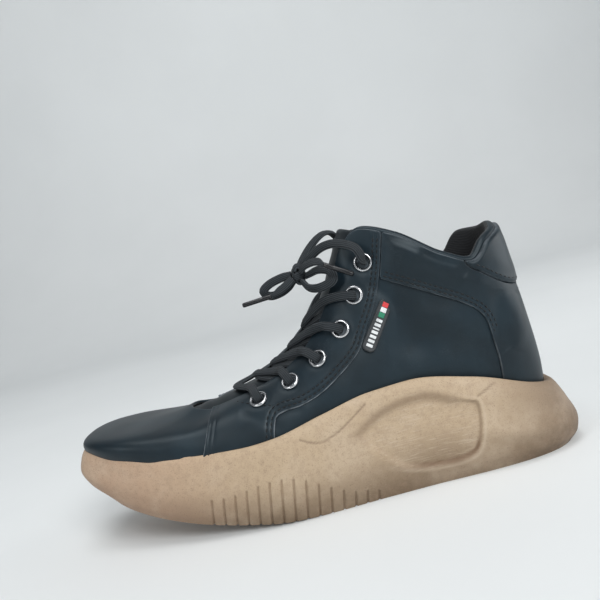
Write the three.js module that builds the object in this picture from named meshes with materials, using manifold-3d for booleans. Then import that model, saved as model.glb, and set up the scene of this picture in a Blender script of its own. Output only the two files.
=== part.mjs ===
// A left high-top sneaker on a rocker cupsole, standing empty on its tread.
// +X points to the toe, +Y to the lateral side, +Z up, in millimetres.
import * as THREE from 'three';
import { mergeVertices } from 'three/addons/utils/BufferGeometryUtils.js';
import Module from 'manifold-3d';

const wasm = await Module();
wasm.setup();

// Driving sizes
const soleLength = 296;
const ballWidth = 106;
const soleHeight = 60;
const shaftHeight = 120;
const sideFlare = 12;
const cupInset = 11;
const toeCapRoom = 12;
const heelRoom = 15.5;
const upperWall = 2.2;
const collarWall = 5.5;
const overlayThickness = 1.3;
const tabThickness = 3.2;
const insoleThickness = 3.5;
const tongueThickness = 5.5;
const tongueBend = 26;
const eyeletBore = 5.2;
const eyeletOuter = 10.4;
const eyeletLip = 0.5;
const eyeletHeight = 1.2;
const laceWidth = 5.2;
const laceThickness = 2.2;
const laceFloat = 0.8;
const crossRaise = 1.6;
const agletLength = 18;
const agletDiameter = 3.2;
const labelLength = 31;
const labelWidth = 7.6;
const labelThickness = 1.8;
const reliefDepth = 1.6;
const sipeWidth = 1.5;
const sipeTops = [23.4, 22.8, 23.2, 24.7, 25.8, 26.5, 26.4, 25.2, 22.4, 19, 15.2, 11.6, 8.9, 7.4, 6];
const sipeLean = 0.17;
const lugGroove = 4;
const clearance = 0.3;
const endRounding = 0.55;

// How finely the forms are divided
const stationsPerRow = 2;
const climbSteps = 6;
const soleStations = 46;
const roundSides = 8;
const strandSides = 6;

// Sections across the sole, from the toe tip (along 0) to the back of the heel (along 1).
// Widths and the centre line are shares of half the ball width, heights of the sole height.
const soleSections = [
  { along: 0.00, centre: -0.09, lateral: 0.98, medial: 0.98, flare: 1.0, cup: 1.0, tread: 0.67, bed: 0.82, rim: 1.00 },
  { along: 0.05, centre: -0.09, lateral: 0.98, medial: 0.98, flare: 1.0, cup: 1.0, tread: 0.53, bed: 0.79, rim: 1.00 },
  { along: 0.10, centre: -0.08, lateral: 0.99, medial: 0.99, flare: 1.0, cup: 1.0, tread: 0.385, bed: 0.69, rim: 1.00 },
  { along: 0.17, centre: -0.06, lateral: 1.00, medial: 1.00, flare: 1.0, cup: 1.0, tread: 0.25, bed: 0.57, rim: 0.87 },
  { along: 0.25, centre: -0.04, lateral: 1.02, medial: 1.01, flare: 1.0, cup: 1.0, tread: 0.145, bed: 0.48, rim: 0.775 },
  { along: 0.34, centre: -0.02, lateral: 1.02, medial: 0.99, flare: 1.0, cup: 1.0, tread: 0.06, bed: 0.43, rim: 0.76 },
  { along: 0.40, centre: 0.00, lateral: 1.00, medial: 0.92, flare: 1.0, cup: 1.0, tread: 0.02, bed: 0.43, rim: 0.78 },
  { along: 0.50, centre: 0.01, lateral: 0.93, medial: 0.80, flare: 1.0, cup: 1.0, tread: 0, bed: 0.48, rim: 0.88 },
  { along: 0.60, centre: 0.01, lateral: 0.89, medial: 0.75, flare: 1.1, cup: 1.0, tread: 0, bed: 0.52, rim: 0.97 },
  { along: 0.68, centre: 0.00, lateral: 0.90, medial: 0.80, flare: 1.2, cup: 1.15, tread: 0, bed: 0.53, rim: 0.985 },
  { along: 0.80, centre: 0.00, lateral: 0.98, medial: 0.92, flare: 1.5, cup: 1.4, tread: 0, bed: 0.51, rim: 0.87 },
  { along: 0.92, centre: 0.00, lateral: 1.07, medial: 1.02, flare: 1.7, cup: 1.6, tread: 0, bed: 0.48, rim: 0.65 },
  { along: 1.00, centre: 0.00, lateral: 1.10, medial: 1.06, flare: 1.7, cup: 1.6, tread: 0.01, bed: 0.46, rim: 0.54 },
];

// Levels of the sole's side, from the tread edge to the rim: the share of the height between them,
// and how far each level stands in from the fullest line, as shares of the side flare.
const sideLevels = [
  { up: 0.00, toeIn: 0.85, heelIn: 0.48, sideIn: 0.24 },
  { up: 0.16, toeIn: 0.20, heelIn: 0.10, sideIn: 0.07 },
  { up: 0.38, toeIn: 0.00, heelIn: 0.00, sideIn: 0.00 },
  { up: 0.72, toeIn: 0.15, heelIn: 0.32, sideIn: 0.10 },
  { up: 0.94, toeIn: 0.38, heelIn: 0.62, sideIn: 0.28 },
  { up: 1.00, toeIn: 0.55, heelIn: 0.74, sideIn: 0.42 },
];

// Grooves between the lugs under the waist and heel, as shares of the sole length ahead of its middle
const lugGrooves = [-0.09, -0.15, -0.21, -0.27, -0.33, -0.39];

// Sections of the upper, from the toe round to the heel. Each climbs from the foot bed to the edge
// of the opening: foot is its share of the way round the foot outline, ahead, out and high place
// the edge, swell and lift lead it away from the bed, reach and crest bring it to the edge.
// Ahead is a share of the sole length, out, swell and reach of half the ball width, the rest
// of the shaft height.
const upperSections = [
  { foot: 0.000, ahead: 0.257, out: 0.000, high: 0.338, swell: 0.51, lift: 0.26, reach: 0.66, crest: -0.08 },
  { foot: 0.110, ahead: 0.247, out: 0.190, high: 0.332, swell: 0.49, lift: 0.245, reach: 0.60, crest: -0.09 },
  { foot: 0.225, ahead: 0.206, out: 0.290, high: 0.315, swell: 0.38, lift: 0.20, reach: 0.49, crest: -0.06 },
  { foot: 0.325, ahead: 0.145, out: 0.320, high: 0.338, swell: 0.25, lift: 0.18, reach: 0.34, crest: -0.02 },
  { foot: 0.410, ahead: 0.081, out: 0.330, high: 0.377, swell: 0.17, lift: 0.21, reach: 0.28, crest: 0.00 },
  { foot: 0.480, ahead: 0.020, out: 0.335, high: 0.454, swell: 0.15, lift: 0.27, reach: 0.28, crest: -0.03 },
  { foot: 0.540, ahead: -0.037, out: 0.340, high: 0.592, swell: 0.15, lift: 0.33, reach: 0.32, crest: -0.12 },
  { foot: 0.585, ahead: -0.078, out: 0.360, high: 0.758, swell: 0.13, lift: 0.35, reach: 0.26, crest: -0.21 },
  { foot: 0.630, ahead: -0.115, out: 0.410, high: 0.942, swell: 0.11, lift: 0.37, reach: 0.17, crest: -0.28 },
  { foot: 0.670, ahead: -0.152, out: 0.472, high: 1.000, swell: 0.11, lift: 0.37, reach: 0.07, crest: -0.33 },
  { foot: 0.715, ahead: -0.216, out: 0.585, high: 0.933, swell: 0.13, lift: 0.35, reach: 0.02, crest: -0.32 },
  { foot: 0.770, ahead: -0.291, out: 0.640, high: 0.796, swell: 0.15, lift: 0.30, reach: -0.04, crest: -0.28 },
  { foot: 0.825, ahead: -0.344, out: 0.620, high: 0.738, swell: 0.17, lift: 0.27, reach: -0.06, crest: -0.25 },
  { foot: 0.880, ahead: -0.383, out: 0.510, high: 0.810, swell: 0.13, lift: 0.26, reach: -0.01, crest: -0.27 },
  { foot: 0.940, ahead: -0.419, out: 0.264, high: 0.853, swell: 0.09, lift: 0.25, reach: 0.03, crest: -0.27 },
  { foot: 1.000, ahead: -0.428, out: 0.000, high: 0.878, swell: 0.07, lift: 0.25, reach: 0.05, crest: -0.25 },
];

// The medial edge of the collar rises sooner behind its dip: the section it is highest over, how many
// sections it takes to fall off, and its height as a share of the shaft height
const medialRise = { section: 12.8, spread: 0.9, high: 0.05 };

// Lines of the overlays as seen from the side: ahead is a share of the sole length,
// high of the shaft height above the foot bed at the heel.
const eyestayRear = [
  { ahead: -0.191, high: 0.950 },
  { ahead: -0.171, high: 0.775 },
  { ahead: -0.149, high: 0.650 },
  { ahead: -0.118, high: 0.525 },
  { ahead: -0.095, high: 0.442 },
  { ahead: -0.054, high: 0.367 },
  { ahead: -0.010, high: 0.304 },
  { ahead: 0.030, high: 0.272 },
  { ahead: 0.066, high: 0.262 },
  { ahead: 0.084, high: 0.237 },
  { ahead: 0.095, high: 0.138 },
  { ahead: 0.105, high: 0.000 },
];
const eyestayFront = [
  { ahead: 0.250, high: 0.000 },
  { ahead: 0.233, high: 0.138 },
  { ahead: 0.223, high: 0.200 },
  { ahead: 0.204, high: 0.330 },
  { ahead: 0.190, high: 0.450 },
];
const collarSeam = [
  { ahead: -0.170, high: 0.752 },
  { ahead: -0.215, high: 0.690 },
  { ahead: -0.268, high: 0.615 },
  { ahead: -0.306, high: 0.560 },
  { ahead: -0.334, high: 0.505 },
  { ahead: -0.348, high: 0.445 },
  { ahead: -0.352, high: 0.360 },
  { ahead: -0.355, high: 0.225 },
  { ahead: -0.352, high: 0.000 },
];
const tabEdge = [
  { ahead: -0.324, high: 0.850 },
  { ahead: -0.331, high: 0.730 },
  { ahead: -0.358, high: 0.670 },
  { ahead: -0.389, high: 0.612 },
  { ahead: -0.416, high: 0.579 },
  { ahead: -0.440, high: 0.572 },
  { ahead: -0.520, high: 0.572 },
];
const labelPlace = { ahead: -0.143, high: 0.543, tilt: 126 };

// The hollow panel pressed into the sole's side, with heights as shares of the sole height
const sidePanel = [
  { ahead: -0.042, high: 0.65 },
  { ahead: -0.110, high: 0.84 },
  { ahead: -0.200, high: 0.88 },
  { ahead: -0.270, high: 0.72 },
  { ahead: -0.291, high: 0.66 },
  { ahead: -0.285, high: 0.42 },
  { ahead: -0.262, high: 0.21 },
  { ahead: -0.190, high: 0.18 },
  { ahead: -0.105, high: 0.30 },
];

// Eyelets from the lowest to the highest: their section of the upper, how far up it they lie,
// the section where the lace passes over the edge, its crossing as a share of the tongue,
// and the share where it dives under the other edge.
const eyeletPlaces = [
  { row: 3.82, climb: 0.70, lip: 3.35, cross: 0.32, under: 0.365 },
  { row: 4.70, climb: 0.70, lip: 4.35, cross: 0.41, under: 0.455 },
  { row: 5.62, climb: 0.71, lip: 5.15, cross: 0.485, under: 0.53 },
  { row: 6.76, climb: 0.72, lip: 5.80, cross: 0.570, under: 0.615 },
  { row: 7.70, climb: 0.745, lip: 6.60, cross: 0.645, under: 0.69 },
  { row: 8.74, climb: 0.84, lip: 8.00, cross: 0.80, under: 0.845 },
];

// Sections of the tongue along its ridge, from under the vamp to its top edge:
// ahead and high place the ridge, half is its half width and pad its fullness.
const tongueSections = [
  { ahead: 0.300, high: 0.300, half: 0.36, pad: 0.45 },
  { ahead: 0.250, high: 0.318, half: 0.45, pad: 0.60 },
  { ahead: 0.205, high: 0.335, half: 0.51, pad: 0.80 },
  { ahead: 0.147, high: 0.362, half: 0.53, pad: 1.00 },
  { ahead: 0.087, high: 0.401, half: 0.53, pad: 1.00 },
  { ahead: 0.029, high: 0.476, half: 0.53, pad: 1.00 },
  { ahead: -0.027, high: 0.609, half: 0.53, pad: 1.00 },
  { ahead: -0.068, high: 0.772, half: 0.51, pad: 1.00 },
  { ahead: -0.105, high: 0.955, half: 0.47, pad: 1.00 },
  { ahead: -0.121, high: 1.030, half: 0.42, pad: 0.60 },
];

const overlayTop = clearance + overlayThickness;
// Routes of the loose lace, chosen by hand in millimetres, from the top eyelets to the bow
const laceRoutes = {
  lace_run_lateral: [[-42.9, 29.9, 129.6], [-42.5, 34, 131.6], [-40.6, 34, 137.2], [-35.4, 28, 141.2],
    [-28, 20.5, 143.2], [-20.5, 14.6, 141.6], [-9.9, 9, 134.4]],
  lace_run_medial: [[-42.7, -29.7, 129.7], [-42.4, -34, 131.8], [-40, -32.5, 139], [-36, -25, 145.8],
    [-31, -14, 150.4], [-24.6, -5, 149.6], [-17, -1.5, 144.2], [-8.6, 4.2, 135.1]],
  lace_loop_left: [[-2.2, 5.8, 130.9], [5, 4, 130.2], [12.6, 3, 128], [16.6, 2.6, 124.8], [13.4, 2.6, 121.4],
    [6.4, 4, 121.8], [1.2, 5, 124.2], [-2.5, 5.9, 127.1]],
  lace_loop_right: [[-10.7, 9.8, 128.4], [-18.5, 19, 130.4], [-24.4, 27.2, 128], [-24.6, 30, 123.6],
    [-17.5, 27.6, 120.8], [-10.8, 19.5, 121.4], [-7.7, 10.9, 125.5]],
  lace_end_left: [[-2.3, 9.7, 128.6], [3, 11, 125.2], [8, 10.8, 123], [11.6, 10.6, 121.6]],
  lace_end_right: [[-8.1, 12, 132.4], [-12, 19.4, 134.8], [-17.6, 26.5, 135.4], [-20.6, 31.4, 133.4]],
};
const agletAims = {
  aglet_left: { from: [12.1, 10.6, 121.4], to: [30, 10.4, 120] },
  aglet_right: { from: [-21.1, 32.3, 132.9], to: [-36, 38.6, 124] },
};
const knotPlace = [-6.6, 7.2, 130.2];
const knotSize = [8.2, 10, 12.6];

const halfBall = ballWidth / 2;
const halfLength = soleLength / 2;
const lastRow = upperSections.length - 1;
const upperStations = 2 * lastRow * stationsPerRow;

// A smooth curve through one column of a table that never swings past its rows.
// A flat end has no slope at the first and last row.
function columnOf(rows, name, key, flatEnds) {
  const at = rows.map((row, index) => (key ? row[key] : index));
  const value = rows.map((row) => row[name]);
  const last = rows.length - 1;
  const secant = value.slice(1).map((next, i) => (next - value[i]) / (at[i + 1] - at[i]));
  const slope = value.map((_, i) => {
    if (i === 0 || i === last) return flatEnds ? 0 : secant[Math.min(i, last - 1)];
    const [before, after] = [secant[i - 1], secant[i]];
    return before * after <= 0 ? 0 : (2 * before * after) / (before + after);
  });
  return (position) => {
    const p = THREE.MathUtils.clamp(position, at[0], at[last]);
    let i = 0;
    while (i < last - 1 && p > at[i + 1]) i += 1;
    const span = at[i + 1] - at[i];
    const t = (p - at[i]) / span;
    const ease = t * t * (3 - 2 * t);
    const lead = t * (1 - t) * (1 - t) * slope[i] - t * t * (1 - t) * slope[i + 1];
    return value[i] + (value[i + 1] - value[i]) * ease + lead * span;
  };
}

const section = {};
for (const name of ['centre', 'lateral', 'medial', 'flare', 'cup', 'tread', 'bed', 'rim']) {
  section[name] = columnOf(soleSections, name, 'along', false);
}
const edge = {};
for (const name of ['ahead', 'high', 'swell', 'lift', 'reach', 'crest']) {
  edge[name] = columnOf(upperSections, name, null, true);
}
edge.foot = columnOf(upperSections, 'foot', null, false);
edge.out = columnOf(upperSections, 'out', null, false);

const shaftBase = section.bed(1) * soleHeight;
const alongAt = (x) => (halfLength - x) / soleLength;
const treadHeight = (x) => section.tread(alongAt(x)) * soleHeight;
const rimHeight = (x) => section.rim(alongAt(x)) * soleHeight;
const bedHeight = (x) => section.bed(alongAt(x)) * soleHeight;

// A point of a closed outline in plan, for a turn of 0 at the toe and half a turn at the heel
function outlinePoint(turn, toeIn, heelIn, sideIn) {
  const angle = turn * 2 * Math.PI;
  const along = (1 - Math.cos(angle)) / 2;
  const x = halfLength - toeIn - (soleLength - toeIn - heelIn) * along;
  const place = alongAt(x);
  const side = Math.sign(Math.round(Math.sin(angle) * 1e9));
  const width = section[side < 0 ? 'medial' : 'lateral'](place) * halfBall - sideIn(place);
  const roundEnd = Math.abs(Math.sin(angle)) ** endRounding;
  return new THREE.Vector2(x, section.centre(place) * halfBall + side * width * roundEnd);
}

// Faces of a strip between two rings of the same count, and the rungs that close a ring.
// A wall's two skins have the same diagonals, so that the gap to a layer over it stays even.
function bandFaces(faces, low, high, count, turned = false) {
  for (let i = 0; i < count; i += 1) {
    const j = (i + 1) % count;
    if (turned) faces.push([low + i, low + j, high + i], [low + j, high + j, high + i]);
    else faces.push([low + i, low + j, high + j], [low + i, high + j, high + i]);
  }
}

function rungFaces(faces, start, count, facesUp) {
  const add = (a, b, c) => faces.push(facesUp ? [a, b, c] : [a, c, b]);
  for (let i = 0; i < count / 2; i += 1) {
    const [a, b] = [start + i, start + i + 1];
    const [c, d] = [start + count - i - 1, start + ((count - i) % count)];
    if (b !== c) add(a, b, c);
    if (a !== d) add(a, c, d);
  }
}

function geometryOf(points, faces) {
  const geometry = new THREE.BufferGeometry();
  const positions = new Float32Array(points.flatMap((p) => [p.x, p.y, p.z]));
  geometry.setAttribute('position', new THREE.BufferAttribute(positions, 3));
  geometry.setIndex(faces.flat());
  return geometry;
}

// A closed form from rings stacked upwards, closed by rungs below and above
function stackedForm(rings) {
  const count = rings[0].length;
  const faces = [];
  for (let k = 0; k + 1 < rings.length; k += 1) bandFaces(faces, k * count, (k + 1) * count, count);
  rungFaces(faces, 0, count, false);
  rungFaces(faces, (rings.length - 1) * count, count, true);
  return geometryOf(rings.flat(), faces);
}

// A closed band from rings that come back to the first one
function loopedForm(rings) {
  const count = rings[0].length;
  const faces = [];
  rings.forEach((_, k) => {
    const inward = k >= rings.length / 2;
    bandFaces(faces, k * count, ((k + 1) % rings.length) * count, count, inward);
  });
  return geometryOf(rings.flat(), faces);
}

function solidOf(source) {
  const geometry = source.clone();
  geometry.deleteAttribute('normal');
  geometry.deleteAttribute('uv');
  const merged = mergeVertices(geometry, 1e-4);
  const vertProperties = new Float32Array(merged.attributes.position.array);
  const triVerts = new Uint32Array(merged.index.array);
  return new wasm.Manifold(new wasm.Mesh({ numProp: 3, vertProperties, triVerts }));
}

function geometryFrom(solid) {
  const mesh = solid.getMesh();
  const geometry = new THREE.BufferGeometry();
  geometry.setAttribute('position', new THREE.BufferAttribute(new Float32Array(mesh.vertProperties), 3));
  geometry.setIndex(new THREE.BufferAttribute(new Uint32Array(mesh.triVerts), 1));
  return geometry;
}

const turns = (count) => Array.from({ length: count }, (_, i) => i / count);
const lift = (plan, z) => new THREE.Vector3(plan.x, plan.y, z);

// The upper's outer skin: turn goes round the shoe, climb from the foot bed to the opening
const footPlan = (turn) => outlinePoint(turn, toeCapRoom, heelRoom, (along) => section.cup(along) * cupInset);

const upperCurves = new Map();

function upperCurve(turn) {
  const wrapped = ((turn % 1) + 1) % 1;
  if (upperCurves.has(wrapped)) return upperCurves.get(wrapped);
  const side = wrapped <= 0.5 ? 1 : -1;
  const row = lastRow * 2 * (side > 0 ? wrapped : 1 - wrapped);
  const footTurn = (side * edge.foot(row)) / 2;
  const foot = footPlan(footTurn);
  const across = footPlan(footTurn + 0.002).sub(footPlan(footTurn - 0.002)).normalize();
  const outward = new THREE.Vector3(across.y, -across.x, 0);
  const start = lift(foot, bedHeight(foot.x) + clearance);
  const fall = (row - medialRise.section) / medialRise.spread;
  const rise = side < 0 ? medialRise.high * Math.exp(-fall * fall) : 0;
  const end = new THREE.Vector3(
    edge.ahead(row) * soleLength,
    side * edge.out(row) * halfBall,
    shaftBase + (edge.high(row) + rise) * shaftHeight,
  );
  const first = start.clone().addScaledVector(outward, edge.swell(row) * halfBall);
  first.z += edge.lift(row) * shaftHeight;
  const second = end.clone().addScaledVector(outward, edge.reach(row) * halfBall);
  second.z += edge.crest(row) * shaftHeight;
  const curve = new THREE.CubicBezierCurve3(start, first, second, end);
  upperCurves.set(wrapped, curve);
  return curve;
}

const upperSkin = (turn, climb) => upperCurve(turn).getPoint(climb);

function skinNormal(turn, climb) {
  const [low, high] = [Math.max(climb - 0.01, 0), Math.min(climb + 0.01, 1)];
  const round = upperSkin(turn + 0.002, climb).sub(upperSkin(turn - 0.002, climb));
  return round.cross(upperSkin(turn, high).sub(upperSkin(turn, low))).normalize();
}

const skinPoint = (turn, climb, offset) =>
  upperSkin(turn, climb).addScaledVector(skinNormal(turn, climb), offset);

// The wall is padded near the edge of the collar, and thin at the throat
function wallAt(turn, climb) {
  const row = lastRow * (1 - Math.abs(1 - 2 * turn));
  const behind = THREE.MathUtils.smoothstep(row, 8, 10);
  const near = THREE.MathUtils.smoothstep(climb, 0.55, 0.85);
  return upperWall + (collarWall - upperWall) * behind * near;
}

const climbs = Array.from({ length: climbSteps + 1 }, (_, k) => k / climbSteps);

// A ring of the skin at one height, in or out by an offset that may vary round the shoe
function skinRing(climb, offset) {
  return turns(upperStations).map((turn) => {
    const depth = typeof offset === 'number' ? offset : offset(turn, climb);
    const point = skinPoint(turn, climb, depth);
    if (climb === 0) point.z = upperSkin(turn, 0).z;
    return point;
  });
}

// The rings of a wall between two offsets of the skin, with a rounded edge round the opening
function wallRings(outside, inside, edgeRoll) {
  const outer = climbs.map((climb) => skinRing(climb, outside));
  const inner = climbs.map((climb) => skinRing(climb, inside));
  const last = climbs.length - 1;
  const roll = turns(upperStations).map((turn, i) => {
    const rise = upperSkin(turn, 1).sub(upperSkin(turn, 0.97)).normalize();
    const middle = outer[last][i].clone().add(inner[last][i]).divideScalar(2);
    return middle.addScaledVector(rise, outer[last][i].distanceTo(inner[last][i]) * edgeRoll);
  });
  return [...outer, roll, ...inner.reverse()];
}

// The filled form of the last, grown by an offset, down to the foot bed
function lastForm(offset) {
  const rings = climbs.map((climb) => skinRing(climb, offset));
  for (const point of rings[0]) point.z -= clearance;
  return stackedForm(rings);
}

const upperForm = () => loopedForm(wallRings(0, (turn, climb) => -wallAt(turn, climb), 0.3));

// The room that the wall takes up, with the clearance that a neighbour keeps
function upperRoom() {
  const inside = (turn, climb) => -wallAt(turn, climb) - clearance;
  return solidOf(loopedForm(wallRings(clearance, inside, 0.55)));
}

// A layer over the skin, from which the overlays are cut, and the room that it takes up in the sole
const skinLayer = (from, to) => solidOf(loopedForm(wallRings(to, from, 0)));

function layerRoom() {
  const rings = wallRings(overlayTop + clearance, -clearance, 0);
  for (const ring of [rings[0], rings[rings.length - 1]]) {
    for (const point of ring) point.z -= clearance;
  }
  return solidOf(loopedForm(rings));
}

// An outline with every corner moved out by a distance
function grownOutline(outline, distance) {
  const clockwise = THREE.ShapeUtils.isClockWise(outline);
  return outline.map((point, i) => {
    const before = outline[(i + outline.length - 1) % outline.length];
    const after = outline[(i + 1) % outline.length];
    const along = after.clone().sub(before).normalize();
    const outward = clockwise ? new THREE.Vector2(-along.y, along.x) : new THREE.Vector2(along.y, -along.x);
    return point.clone().addScaledVector(outward, distance);
  });
}

const seen = (point) => new THREE.Vector2(point.ahead * soleLength, shaftBase + point.high * shaftHeight);

// A prism across the shoe, between two planes of y, with an outline given as seen from the side
function acrossPrism(outline, fromY, toY) {
  const geometry = new THREE.ExtrudeGeometry(new THREE.Shape(outline), { depth: toY - fromY, bevelEnabled: false });
  geometry.rotateX(Math.PI / 2);
  geometry.translate(0, toY, 0);
  return solidOf(geometry);
}

const smoothLine = (points, steps) => new THREE.SplineCurve(points.map(seen)).getPoints(steps);

function soleForm(inset) {
  const rings = sideLevels.map((level) => turns(soleStations).map((turn) => {
    const sideIn = (along) => level.sideIn * section.flare(along) * sideFlare + inset;
    const toeIn = level.toeIn * sideFlare + inset;
    const plan = outlinePoint(turn, toeIn, level.heelIn * sideFlare + inset, sideIn);
    const low = treadHeight(plan.x) + inset;
    return lift(plan, low + (rimHeight(plan.x) - low) * level.up);
  }));
  return solidOf(stackedForm(rings));
}

// Sipes up the side of the forefoot, taller in the middle of their row
function sipePrisms() {
  const [front, back] = [0.2365, -0.0715].map((ahead) => ahead * soleLength);
  return sipeTops.map((top, i) => {
    const x = front + ((back - front) * i) / (sipeTops.length - 1);
    const half = sipeWidth / 2;
    const shift = (sipeLean * (top - treadHeight(x))) / 2;
    const outline = [[shift - half, -1], [shift + half, -1], [half - shift, top], [-half - shift, top]];
    return acrossPrism(outline.map(([dx, z]) => new THREE.Vector2(x + dx, z)), -ballWidth, ballWidth);
  });
}

// Grooves between the lugs under the waist and heel, which stop short of the side
function lugPrisms() {
  return lugGrooves.map((ahead) => {
    const x = ahead * soleLength;
    const half = lugGroove / 2;
    const outline = [[-half, -1], [half, -1], [half, reliefDepth + 1], [-half, reliefDepth + 1]];
    const width = section.medial(alongAt(x)) * halfBall * 0.55;
    return acrossPrism(outline.map(([dx, z]) => new THREE.Vector2(x + dx, z)), -width, width);
  });
}

function soleSolid(overlayRoom) {
  const core = soleForm(reliefDepth);
  const panelLine = sidePanel.map((p) => new THREE.Vector2(p.ahead * soleLength, p.high * soleHeight));
  const panel = new THREE.SplineCurve([...panelLine, panelLine[0]]).getPoints(32).slice(0, -1);
  const relief = [...sipePrisms(), ...lugPrisms(), acrossPrism(panel, 0, ballWidth), acrossPrism(panel, -ballWidth, 0)];
  const carved = relief.reduce((solid, prism) => solid.subtract(prism.subtract(core)), soleForm(0));
  return carved.subtract(solidOf(lastForm(clearance))).subtract(overlayRoom);
}

function insoleForm() {
  const plan = skinRing(0, (turn, climb) => -wallAt(turn, climb) - clearance);
  const low = plan.map((p) => new THREE.Vector3(p.x, p.y, bedHeight(p.x) + clearance));
  const high = low.map((p) => p.clone().setZ(p.z + insoleThickness));
  return stackedForm([low, high]);
}

// The tongue's ridge, and its surface for a place along it and a distance across
const tongueRidge = new THREE.CatmullRomCurve3(
  tongueSections.map((p) => new THREE.Vector3(seen(p).x, 0, seen(p).y)),
);
const tongueShare = {};
for (const name of ['half', 'pad']) tongueShare[name] = columnOf(tongueSections, name, null, false);

function tonguePoint(share, across, depth) {
  const along = tongueRidge.getTangent(share);
  const outward = new THREE.Vector3(along.z, 0, -along.x);
  const drop = across ** 2 / (2 * tongueBend) + depth;
  const point = tongueRidge.getPoint(share).addScaledVector(outward, -drop);
  point.y = across;
  return point;
}

function tongueForm() {
  const [steps, around] = [16, 14];
  const rings = Array.from({ length: steps + 1 }, (_, k) => {
    const share = k / steps;
    const row = share * (tongueSections.length - 1);
    const pad = (tongueShare.pad(row) * tongueThickness) / 2;
    return Array.from({ length: around }, (_, i) => {
      const angle = (2 * Math.PI * i) / around;
      const fullness = Math.sign(Math.sin(angle)) * Math.abs(Math.sin(angle)) ** 0.6;
      return tonguePoint(share, -Math.cos(angle) * tongueShare.half(row) * halfBall, pad * (1 - fullness));
    });
  });
  return stackedForm(rings);
}

function eyestayOutline() {
  const rear = smoothLine(eyestayRear, 26);
  const front = smoothLine(eyestayFront, 8);
  const above = [{ ahead: 0.05, high: 1.2 }, { ahead: -0.191, high: 1.2 }].map(seen);
  return [...rear, ...front, ...above];
}

function collarOutline() {
  const seam = smoothLine(collarSeam, 18);
  const gap = 2 * clearance;
  const front = smoothLine(eyestayRear, 26).filter((p) => p.y > seam[0].y + 1).map((p) => p.clone().setX(p.x - gap));
  const behind = [{ ahead: -0.55, high: 0.0 }, { ahead: -0.55, high: 1.2 }, { ahead: -0.193, high: 1.2 }].map(seen);
  return [...seam, ...behind, ...front];
}

function tabOutline(gap) {
  const lower = smoothLine(tabEdge, 16).map((p) => new THREE.Vector2(p.x + gap, p.y - gap));
  const above = [{ ahead: -0.52, high: 1.2 }, { ahead: -0.324, high: 1.2 }].map(seen);
  above[1].x += gap;
  return [...lower, ...above];
}

// The name plate is left plain, a rounded bar on the quarter
function labelOutline() {
  const centre = seen(labelPlace);
  const tilt = THREE.MathUtils.degToRad(labelPlace.tilt);
  const round = labelWidth * 0.4;
  const [along, across] = [labelLength / 2 - round, labelWidth / 2 - round];
  const corners = [[along, across, 0], [-along, across, 1], [-along, -across, 2], [along, -across, 3]];
  return corners.flatMap(([x, y, quarter]) => [0, 0.5, 1].map((step) => {
    const angle = (quarter + step) * (Math.PI / 2);
    const point = new THREE.Vector2(x + Math.cos(angle) * round, y + Math.sin(angle) * round);
    return point.rotateAround(new THREE.Vector2(), tilt).add(centre);
  }));
}

// The turn round the foot of a section on the lateral side, 1, or the medial side, -1
const turnOf = (row, side) => (side > 0 ? row / lastRow / 2 : 1 - row / lastRow / 2);

// The seat of an eyelet on the skin
function eyeletSeat(index, side, height) {
  const place = eyeletPlaces[index];
  const turn = turnOf(place.row, side);
  return { centre: skinPoint(turn, place.climb, height), normal: skinNormal(turn, place.climb) };
}

function standOn(geometry, seat) {
  const upright = new THREE.Quaternion().setFromUnitVectors(new THREE.Vector3(0, 1, 0), seat.normal);
  geometry.applyQuaternion(upright);
  geometry.translate(...seat.centre);
  return geometry;
}

function eyeletForm(seat) {
  const bore = eyeletBore / 2;
  const lip = bore + eyeletLip;
  const outer = eyeletOuter / 2;
  const foot = -(overlayTop + upperWall - clearance);
  const profile = [[bore, foot], [lip, foot], [lip, clearance], [outer, clearance],
    [outer - clearance, eyeletHeight], [lip, eyeletHeight], [bore, foot]];
  const geometry = new THREE.LatheGeometry(profile.map(([r, h]) => new THREE.Vector2(r, h)), roundSides);
  return standOn(geometry, seat);
}

function eyeletHole(seat) {
  const radius = eyeletBore / 2 + eyeletLip + clearance;
  return solidOf(standOn(new THREE.CylinderGeometry(radius, radius, 14, roundSides), seat));
}

// A flat lace through points, each with the direction that its flat side faces
function laceForm(points, facings, steps) {
  const route = new THREE.CatmullRomCurve3(points);
  const facing = new THREE.CatmullRomCurve3(facings);
  const rings = Array.from({ length: steps + 1 }, (_, k) => {
    const share = k / steps;
    const along = route.getTangent(share);
    const up = facing.getPoint(share);
    up.addScaledVector(along, -up.dot(along)).normalize();
    const across = up.clone().cross(along);
    return Array.from({ length: strandSides }, (_, i) => {
      const angle = (2 * Math.PI * i) / strandSides;
      const [wide, thick] = [Math.cos(angle) * laceWidth / 2, Math.sin(angle) * laceThickness / 2];
      return route.getPoint(share).addScaledVector(across, wide).addScaledVector(up, thick);
    });
  });
  return stackedForm(rings);
}

const outwardOfRidge = (share) => {
  const along = tongueRidge.getTangent(share);
  return new THREE.Vector3(along.z, 0, -along.x);
};

const laceRise = laceThickness / 2 + clearance;

// A lace's way over the edge of the eyestay, down to the eyelet
function eyeletApproach(index, side) {
  const place = eyeletPlaces[index];
  const lip = turnOf(place.lip, side);
  const brow = turnOf((place.lip + place.row) / 2, side);
  const browClimb = (place.climb + 1) / 2;
  const onEyelet = overlayTop + eyeletHeight + laceRise;
  const seat = eyeletSeat(index, side, onEyelet + laceFloat / 2);
  return {
    points: [
      skinPoint(lip, 1, overlayTop + laceRise + laceFloat),
      skinPoint(brow, browClimb, onEyelet + laceFloat),
      seat.centre,
    ],
    facings: [skinNormal(lip, 1), skinNormal(brow, browClimb), seat.normal],
  };
}

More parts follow.
